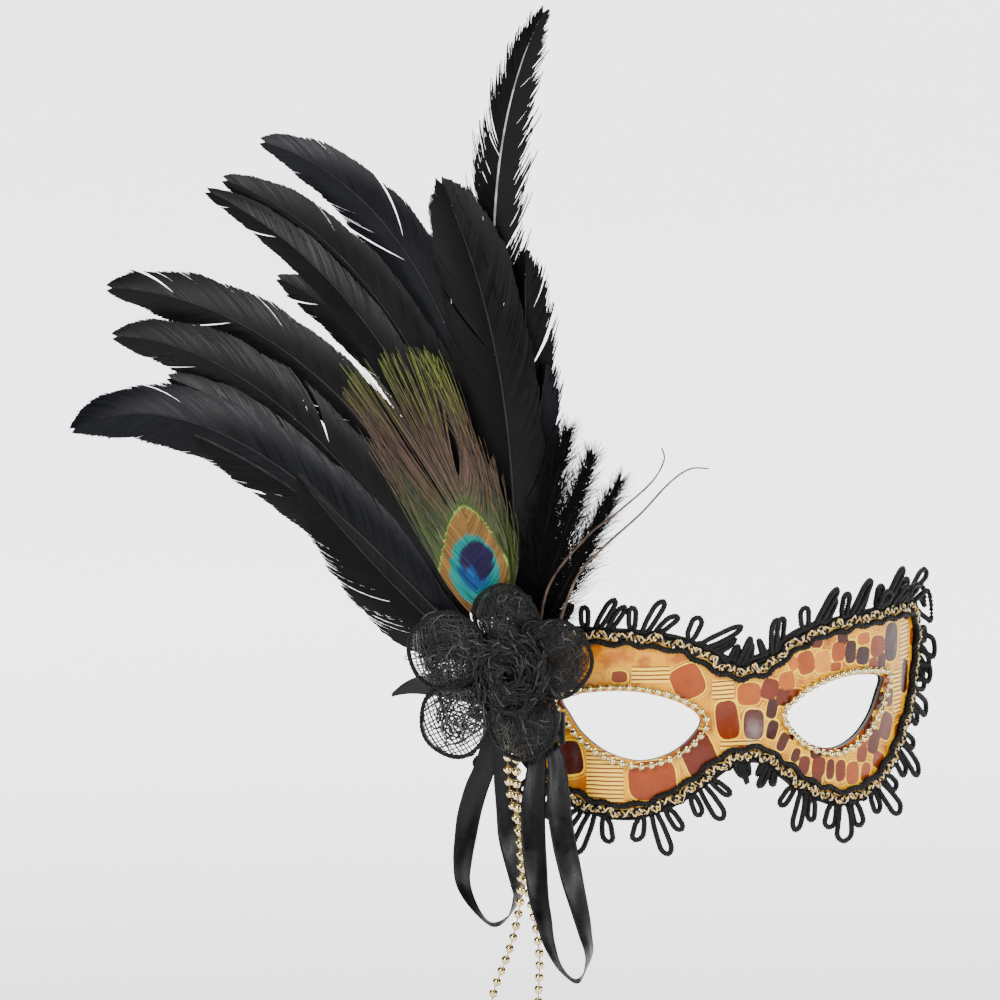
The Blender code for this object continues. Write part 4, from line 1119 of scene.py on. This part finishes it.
def build_peacock(depth):
    """A cut peacock eye: dense inside its drawn oval, and loose strands above it."""
    rng = np.random.default_rng(90)
    stem = evenly(smooth_route(np.array(PEACOCK_STEM) * MM, 12), 200)
    total = lengths(stem)[-1]
    lines = []
    n = 26
    t = np.linspace(0, 1, n)[:, None]
    for side, tips in PEACOCK_TIPS.items():
        tips = np.array(tips) * MM
        for u in np.sort(rng.uniform(0, 1, 250) ** 1.1):
            start = along(stem, (0.17 + 0.45 * u) * total)
            if side < 0:
                shoulder = np.array([-14.2 * (1 - 0.75 * u**1.5), 9 + 3 * u]) * MM
            else:
                shoulder = np.array([13.6 * (1 - 0.8 * u**1.3), 8 + 5 * u]) * MM
            end = along(tips, min(1, u * 0.95 + rng.uniform(0, 0.06)) * lengths(tips)[-1])
            end = end + rng.normal(0, 2.0, 2) * MM
            end = end + (start - end) * rng.uniform(0, 0.2) * rng.choice([0.2, 1])
            p1 = start + shoulder
            p2 = p1 + (end - p1) * 0.45 + np.array([side * (2.5 - 2 * u), 3]) * MM
            near, far = 3 * (1 - t) ** 2 * t, 3 * (1 - t) * t**2
            lines.append((1 - t) ** 3 * start + near * p1 + far * p2 + t**3 * end)
    flat = np.array(lines)
    m = len(flat)
    t = np.linspace(0, 1, n)[None]
    off = (flat - np.array([-17.4, 54]) * MM) / (np.array([13.5, 21]) * MM)
    dense = np.clip((1.15 - np.linalg.norm(off, axis=-1)) / 0.25, 0, 1)
    paths = swept(flat, depth + 0.8 * MM * dense + rng.normal(0, 0.9, (m, 1)) * MM * t**1.6)
    beads = 1 + 0.35 * np.sin(t * 60) * (1 - dense)
    widths = (0.28 + 0.8 * dense) * MM * beads * (1 - 0.45 * t**4)
    barbs = tilted_strips(paths, widths, np.radians(rng.normal(0, 9, (m, 1, 1))))
    uv = np.repeat(flat.reshape(-1, 2), 2, 0)
    add_mesh("peacock_barbs", barbs, peacock(), "peacock_feather", uv=uv)
    shaft = strands(swept(stem[:150], depth - 0.35 * MM)[None], np.linspace(0.7, 0.3, 150)[None] * MM, 6)
    add_mesh("peacock_shaft", shaft, rachis_finish("peacock_stem", 0.2), "peacock_feather")


# Flower

PETALS = [
    ("petal_top", (-3.5, 34.6), 11.8, dict(layers=4, dome=2.2, cover=0.95)),
    ("petal_lower_left", (-22, -1.8), 12.4, dict(layers=2, dome=3.2, cover=0.7, pitch=1.35, fibre=0.27)),
    ("petal_bottom", (3.5, -0.6), 13, dict(layers=4, dome=2.0, cover=0.95)),
    ("petal_left", (-24.6, 22.8), 13.4, dict(layers=4, dome=2.0, cover=0.84, pitch=1.25, fibre=0.22)),
    ("petal_right", (15.4, 22.2), 14, dict(layers=5, dome=2.2, cover=0.9)),
]
PETAL_FIRST = 21.7 * MM
PETAL_PITCH = 0.9 * MM
DISC_PLACE = np.array([-4, 14]) * MM
ROSE_PLACE = np.array([1, 17]) * MM
ROSE_BACK = PETAL_FIRST + 5 * PETAL_PITCH + 0.5 * MM


def mesh_threads(name):
    """Stiff black sinamay fibre with a dull shine. Its palest fibres are painted grey as painted glints, a
    painted highlight.
    """
    f = Finish(name, (0.012, 0.012, 0.012), 0.36, Specular_IOR_Level=0.4)
    each = f.each()
    # the top stop paints the fibres with the highest random number a lighter grey: painted glints, not the
    # fibre's own colour
    stops = [(0.3, (0.001, 0.001, 0.001)), (0.72, (0.004, 0.004, 0.004)), (1.0, (0.07, 0.068, 0.062))]
    f.set("Base Color", f.ramp(each, stops))
    f.bump(f.noise(f.place(), 1800.0, 2.0), 0.05 * MM, 0.5)
    return f.material


LAYER_GAP = 0.45 * MM


def petal_depth(xy, centre, radius, depth, dome):
    reach = np.linalg.norm(xy - DISC_PLACE, axis=-1) / (40 * MM)
    inner = np.linalg.norm(xy - centre, axis=-1) / radius
    return depth + 3.5 * MM * reach**2 + dome * MM * (1 - inner**2)


def curl_up(start, heading, length):
    """A short curled fibre in the plane that starts in one place and turns along its headings."""
    return start + np.cumsum(spoke(heading), 0) * length * MM / len(heading)


def add_petal(name, place, radius, depth, thread, rim, seed, layers, dome, cover, pitch=1.15, fibre=0.17):
    """A petal of weave on a rounded form, its edge rolled over: one open layer, and more near the rose."""
    rng = np.random.default_rng(seed)
    centre, radius = np.array(place) * MM, radius * MM
    inward = unit(DISC_PLACE - centre)

    def edge_at(turn):
        return radius * (1 + 0.035 * np.sin(2 * turn + seed) + 0.02 * np.sin(5 * turn + seed * 2))

    n = 26
    paths = []
    for layer in range(layers):
        base = rng.uniform(0, math.pi)
        share = cover if layer else 1
        middle = centre + inward * radius * (1 - share) * 0.96
        for family in (0, 1):
            phi = base + family * math.pi / 2
            d, across = spoke(phi), spoke(phi + math.pi / 2)
            gap = pitch * MM * (0.8 if layer else 1)
            offsets = np.arange(-radius * share + 0.5 * MM, radius * share, gap)
            for k, o in enumerate(offsets + rng.normal(0, 0.09 * MM, len(offsets))):
                turn = phi + math.asin(np.clip(o / radius, -1, 1))
                half = math.sqrt(max(0, (edge_at(turn) * share) ** 2 - o * o)) * 0.98
                half *= rng.uniform(0.85, 1) if layer else 1
                t = np.linspace(-1, 1, n)
                bow = 0.16 * o * (1 - t**2) + 0.25 * MM * ripple(t * 2.5, seed + k + family * 50)
                xy = middle + (half * t)[:, None] * d + (o + bow)[:, None] * across
                c = petal_depth(xy, centre, radius, depth - layer * LAYER_GAP, dome)
                c = c + 0.13 * MM * np.sin(half * t / (pitch * MM) * math.pi + (k % 2) * math.pi)
                paths.append(on_flower(xy, c))
    for _ in range(34 * layers):
        r = cover * radius * math.sqrt(rng.uniform(0, 0.95))
        turn, way = rng.uniform(0, 6.3), rng.uniform(0, 6.3)
        at = centre + inward * radius * (1 - cover) + r * spoke(turn)
        heading = way + np.linspace(0, rng.uniform(-2.6, 2.6), n)
        xy = curl_up(at, heading, rng.uniform(4, 9))
        far = np.linalg.norm(xy - centre, axis=-1)[:, None]
        xy = np.where(far > radius * 0.97, centre + (xy - centre) * (radius * 0.97 / far), xy)
        rise = rng.uniform(0.2, 0.9) * MM * np.sin(np.linspace(0, math.pi, n))
        paths.append(on_flower(xy, petal_depth(xy, centre, radius, depth, dome) + rise))
    radii = fibre * MM * rng.uniform(0.55, 1.25, (len(paths), 1)) * np.ones((1, n))
    add_mesh(f"{name}_weave", strands(np.array(paths), radii, 4), thread, name)
    turn = np.linspace(0, TAU, 150, endpoint=False)
    xy = centre + edge_at(turn)[:, None] * spoke(turn)
    path = on_flower(xy, petal_depth(xy, centre, radius, depth, dome))
    add_mesh(f"{name}_rim", twisted(path, 0.85 * MM, 3, 5 * MM, 6, True), rim, name)


def build_rose(thread, rim):
    """A band of mesh rolled up into four loose turns, full of curled fibres."""
    rng = np.random.default_rng(140)
    n = 520
    t = np.linspace(0, 1, n)
    theta = t * 4.2 * TAU + 0.4
    radius = (1.4 + 11.4 * t**0.85 + 0.5 * np.sin(theta * 1.7) * t) * MM
    height = (8.4 - 2.8 * t + 0.6 * np.sin(theta * 1.3 + 1)) * MM
    lean = (0.3 + 1.0 * t) * MM

    def band(level, out=0.0):
        r = radius + lean * level**2 + out
        return on_flower(ROSE_PLACE + r[:, None] * spoke(theta), ROSE_BACK + height * level)

    nodes = "rose_outer rose_middle rose_heart"
    rows = np.concatenate([band(level) for level in np.linspace(0, 0.85, 6)])
    add_mesh("rose_band", (rows, grid_faces(6, n)), rim, nodes)
    parts = []
    for level in np.linspace(0.3, 1.0, 7):
        path = band(level, 0.15 * MM * math.sin(level * 40))
        parts.append(strands(path[None], np.full((1, n), 0.17 * MM), 4))
    fibres = []
    m = 18
    for _ in range(800):
        i = int(rng.uniform(0.02, 0.99) * n)
        level = rng.uniform(0.8, 1.0)
        at = ROSE_PLACE + (radius[i] + lean[i] + rng.normal(0, 0.5 * MM)) * spoke(theta[i])
        heading = theta[i] + math.pi / 2 + rng.normal(0, 0.3) + np.linspace(0, rng.uniform(-0.8, 1.5), m)
        xy = curl_up(at, heading, rng.uniform(2.5, 7))
        rise = np.sin(np.linspace(0, math.pi, m)) * rng.uniform(-0.2, 0.9) * MM
        fibres.append(on_flower(xy, ROSE_BACK + height[i] * level + rise))
    radii = 0.13 * MM * rng.uniform(0.6, 1.5, (len(fibres), 1)) * np.ones((1, m))
    parts.append(strands(np.array(fibres), radii, 4))
    add_mesh("rose_weave", joined(parts), thread, nodes)
    edge = twisted(band(0.97), 0.6 * MM, 3, 2.4 * MM, 6, fuzz=0.9)
    add_mesh("rose_edge", edge, rim, nodes)


def build_flower():
    thread = mesh_threads("sinamay_fibre")
    rim = black_cord("sinamay_rolled", 0.6, 0.035)
    for k, (name, place, radius, looks) in enumerate(PETALS):
        add_petal(name, place, radius, PETAL_FIRST + k * PETAL_PITCH, thread, rim, 110 + k, **looks)
    build_rose(thread, rim)


# Hanging pieces

RIBBON_WIDTH = 10 * MM
PIN_HEIGHT = -8 * MM
LOOP_LEFT = [
    (-14.4, -8), (-16.9, -20), (-20, -28.3), (-22.5, -37), (-23.9, -45.6), (-24.9, -54), (-24.6, -62.4),
    (-20.4, -70.4), (-14.1, -76), (-8, -73), (-4.2, -65.4), (-4.4, -61), (-5.9, -52.8), (-7.3, -44.7),
    (-7.8, -36.2), (-8.5, -27.7), (-9.5, -19.3), (-11.8, -8),
]
LOOP_RIGHT = [
    (9.2, -8), (7.7, -15), (7.2, -32), (8.8, -49), (10.2, -62), (12.1, -70), (14.3, -78.5), (18.6, -86.8),
    (24.9, -90.6), (28.9, -82), (27.5, -73.5), (25.4, -65), (23.2, -57), (21.2, -48.5), (17.3, -32),
    (15.4, -15.5), (12.4, -8),
]
LEFT_DEPTHS = (7 * MM, 7.4 * MM)
RIGHT_DEPTHS = (20.6 * MM, 26.6 * MM)
# the bead string: (a, z, c) in mm, from the crimp round the loop and back
BEAD_ROUTE = [
    (-5.4, -9, 15), (-5.6, -20, 15), (-4.4, -30, 15), (-1.8, -40, 15), (-0.8, -52, 15), (-0.9, -64, 15),
    (-2.9, -76, 15), (-6.6, -87.5, 15), (-10.8, -98.5, 15.2), (-11.2, -108, 15.8), (-6, -116, 16.6),
    (1.5, -115, 17.4), (6, -106, 18), (7, -95, 18.3), (7.1, -82, 18.3), (4.6, -68, 18.3), (1.9, -56, 18.3),
    (0.3, -43, 18.3), (-0.9, -31, 18.3), (-1.2, -20, 18.3), (-1.2, -9, 18.3),
]
BEAD_RADIUS = 1.6 * MM
BEAD_PITCH = 4.3 * MM


def build_beads():
    """First of all pieces: the gold bead string, one closed-up loop whose ends go back into the flower."""
    route = smooth_route(np.array(BEAD_ROUTE) * MM, 10)
    path = on_flower(route, route[:, 2])
    total = lengths(path)[-1]
    count = round(total / BEAD_PITCH)
    places = along(path, (np.arange(count) + 0.5) * total / count)
    gold = metal("bead_gold", (0.86, 0.68, 0.33), 0.17, 0.95, 0.5)
    beads = balls(places, np.full(count, BEAD_RADIUS), 10, 16)
    beads = add_mesh("gold_bead_string", beads, gold, "bead_string", "beads")
    thread = twisted(evenly(path, 330), 0.34 * MM, 2, 1.5 * MM, 5)
    dull = metal("bead_cord", (0.62, 0.48, 0.22), 0.45, 0.6)
    thread = add_mesh("bead_thread", thread, dull, "bead_string", "beads")


def satin_strip(name, rows, uv, finish, body, node):
    """A sheet of satin from rows of points along it, given its thickness."""
    shape = np.concatenate(rows), grid_faces(len(rows), len(rows[0]))
    piece = add_mesh(name, shape, finish, node, body, uv=np.concatenate(uv))
    solid = piece.modifiers.new("thickness", "SOLIDIFY")
    solid.thickness, solid.offset = SATIN_THICK, 0
    with bpy.context.temp_override(object=piece, active_object=piece, selected_objects=[piece]):
        bpy.ops.object.modifier_apply(modifier=solid.name)
    return piece


SATIN_THICK = 0.3 * MM


def add_ribbon(side, points, depths, finish):
    """A ribbon that faces forward at the top and has turned edge on at the bottom of its loop."""
    count = 300
    route = evenly(smooth_route(np.array(points) * MM, 12), count)
    low = route[:, 1].min()
    down = np.clip((PIN_HEIGHT - route[:, 1]) / (PIN_HEIGHT - low), 0, 1)
    turn = -math.radians(110) * down**1.5
    gather = 0.55 + 0.3 * np.minimum(1, down * 4)
    t = lengths(route)
    t = t / t[-1]
    depth = depths[0] + (depths[1] - depths[0]) * np.minimum(1, down * 2.2) + 1.4 * MM * t
    rows, uv = [], []
    for p in np.linspace(-1, 1, 13):
        half = RIBBON_WIDTH * gather / 2 * p
        fold = 0.5 * MM * (1 - gather) * math.cos(p * 4)
        bow = 0.35 * MM * (1 - p * p) * ripple(t * 9, 31) + 0.25 * MM * p * ripple(t * 14, 33)
        a = route[:, 0] + half * np.cos(turn) - (fold + bow) * np.sin(turn)
        c = depth + half * np.sin(turn) + (fold + bow) * np.cos(turn)
        rows.append(on_flower(np.stack([a, route[:, 1]], -1), c))
        uv.append(np.stack([np.full(count, p * RIBBON_WIDTH / 2), lengths(route)], -1))
    piece = satin_strip(f"ribbon_{side}_satin", rows, uv, finish, f"{side}_ribbon", f"ribbon_loop_{side}")


def build_ribbons(finish):
    add_ribbon("left", LOOP_LEFT, LEFT_DEPTHS, finish)
    add_ribbon("right", LOOP_RIGHT, RIGHT_DEPTHS, finish)


TIE_LENGTH, TIE_WIDTH, TIE_HEIGHT, TIE_RADIUS, TIE_START = 43 * MM, 10 * MM, 2.5 * MM, 96.4 * MM, 86 * MM


def build_ties(finish):
    for name, side in (("left", -1), ("right", 1)):
        start = side * TIE_START / INNER_RADIUS
        heading = start if side < 0 else start + math.radians(16)
        root = TIE_RADIUS * math.sin(start), INNER_RADIUS - TIE_RADIUS * math.cos(start), TIE_HEIGHT
        away = np.array([side * math.cos(heading), side * math.sin(heading), 0])
        inward = np.array([-math.sin(heading), math.cos(heading), 0])
        q = np.linspace(0, 1, 120)
        end = np.maximum(0, (q - 0.6) / 0.4)
        curl = 4 * MM * end**2 + 0.3 * MM * ripple(q * 6, 3)
        width = TIE_WIDTH * (1 - 0.4 * q) * (1 - 0.8 * end**3)
        rows, uv = [], []
        for p in np.linspace(-0.5, 0.5, 13):
            height = p * width + 2.4 * MM * q - 4.8 * MM * end**3
            bow = curl + 0.3 * MM * (1 - 4 * p * p) * ripple(q * 8, 5)
            rows.append(root + np.stack([TIE_LENGTH * q, -bow, height], -1) @ np.array([away, inward, UP]))
            uv.append(np.stack([np.full(120, p * TIE_WIDTH), TIE_LENGTH * q], -1))
        piece = satin_strip(f"tie_{name}", rows, uv, finish, f"{name}_tie", f"tie_ribbon_{name}")


def finish_hidden_nodes():
    """CAD pieces that keep their shape get felt, wound thread and gold."""
    felt = cloth("felt_black", (0.004, 0.004, 0.004), 0.95, 0.35, 0.25, 0.1, 0.5)
    thread = black_cord("thread_black", 0.55)
    gold = metal("crimp_gold", (0.8, 0.62, 0.3), 0.25, 0.95)
    for names, finish, slot in (
        ("glue_pad quill_core flower_disc hanging_tab tie_patch_left tie_patch_right", felt, "felt"),
        ("ribbon_knot_left ribbon_knot_right", thread, "black_thread"),
        ("bead_crimp", gold, "gold_beads"),
    ):
        for name in names.split():
            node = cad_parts[name]
            node.data.materials.clear()
            node.data.materials.append(finish)


build_stage()
build_beads()
build_mask()
build_edge_trims()
build_pearls()
build_feathers()
build_flower()
satin_black = satin("satin_black")
build_ribbons(satin_black)
build_ties(satin_black)
finish_hidden_nodes()
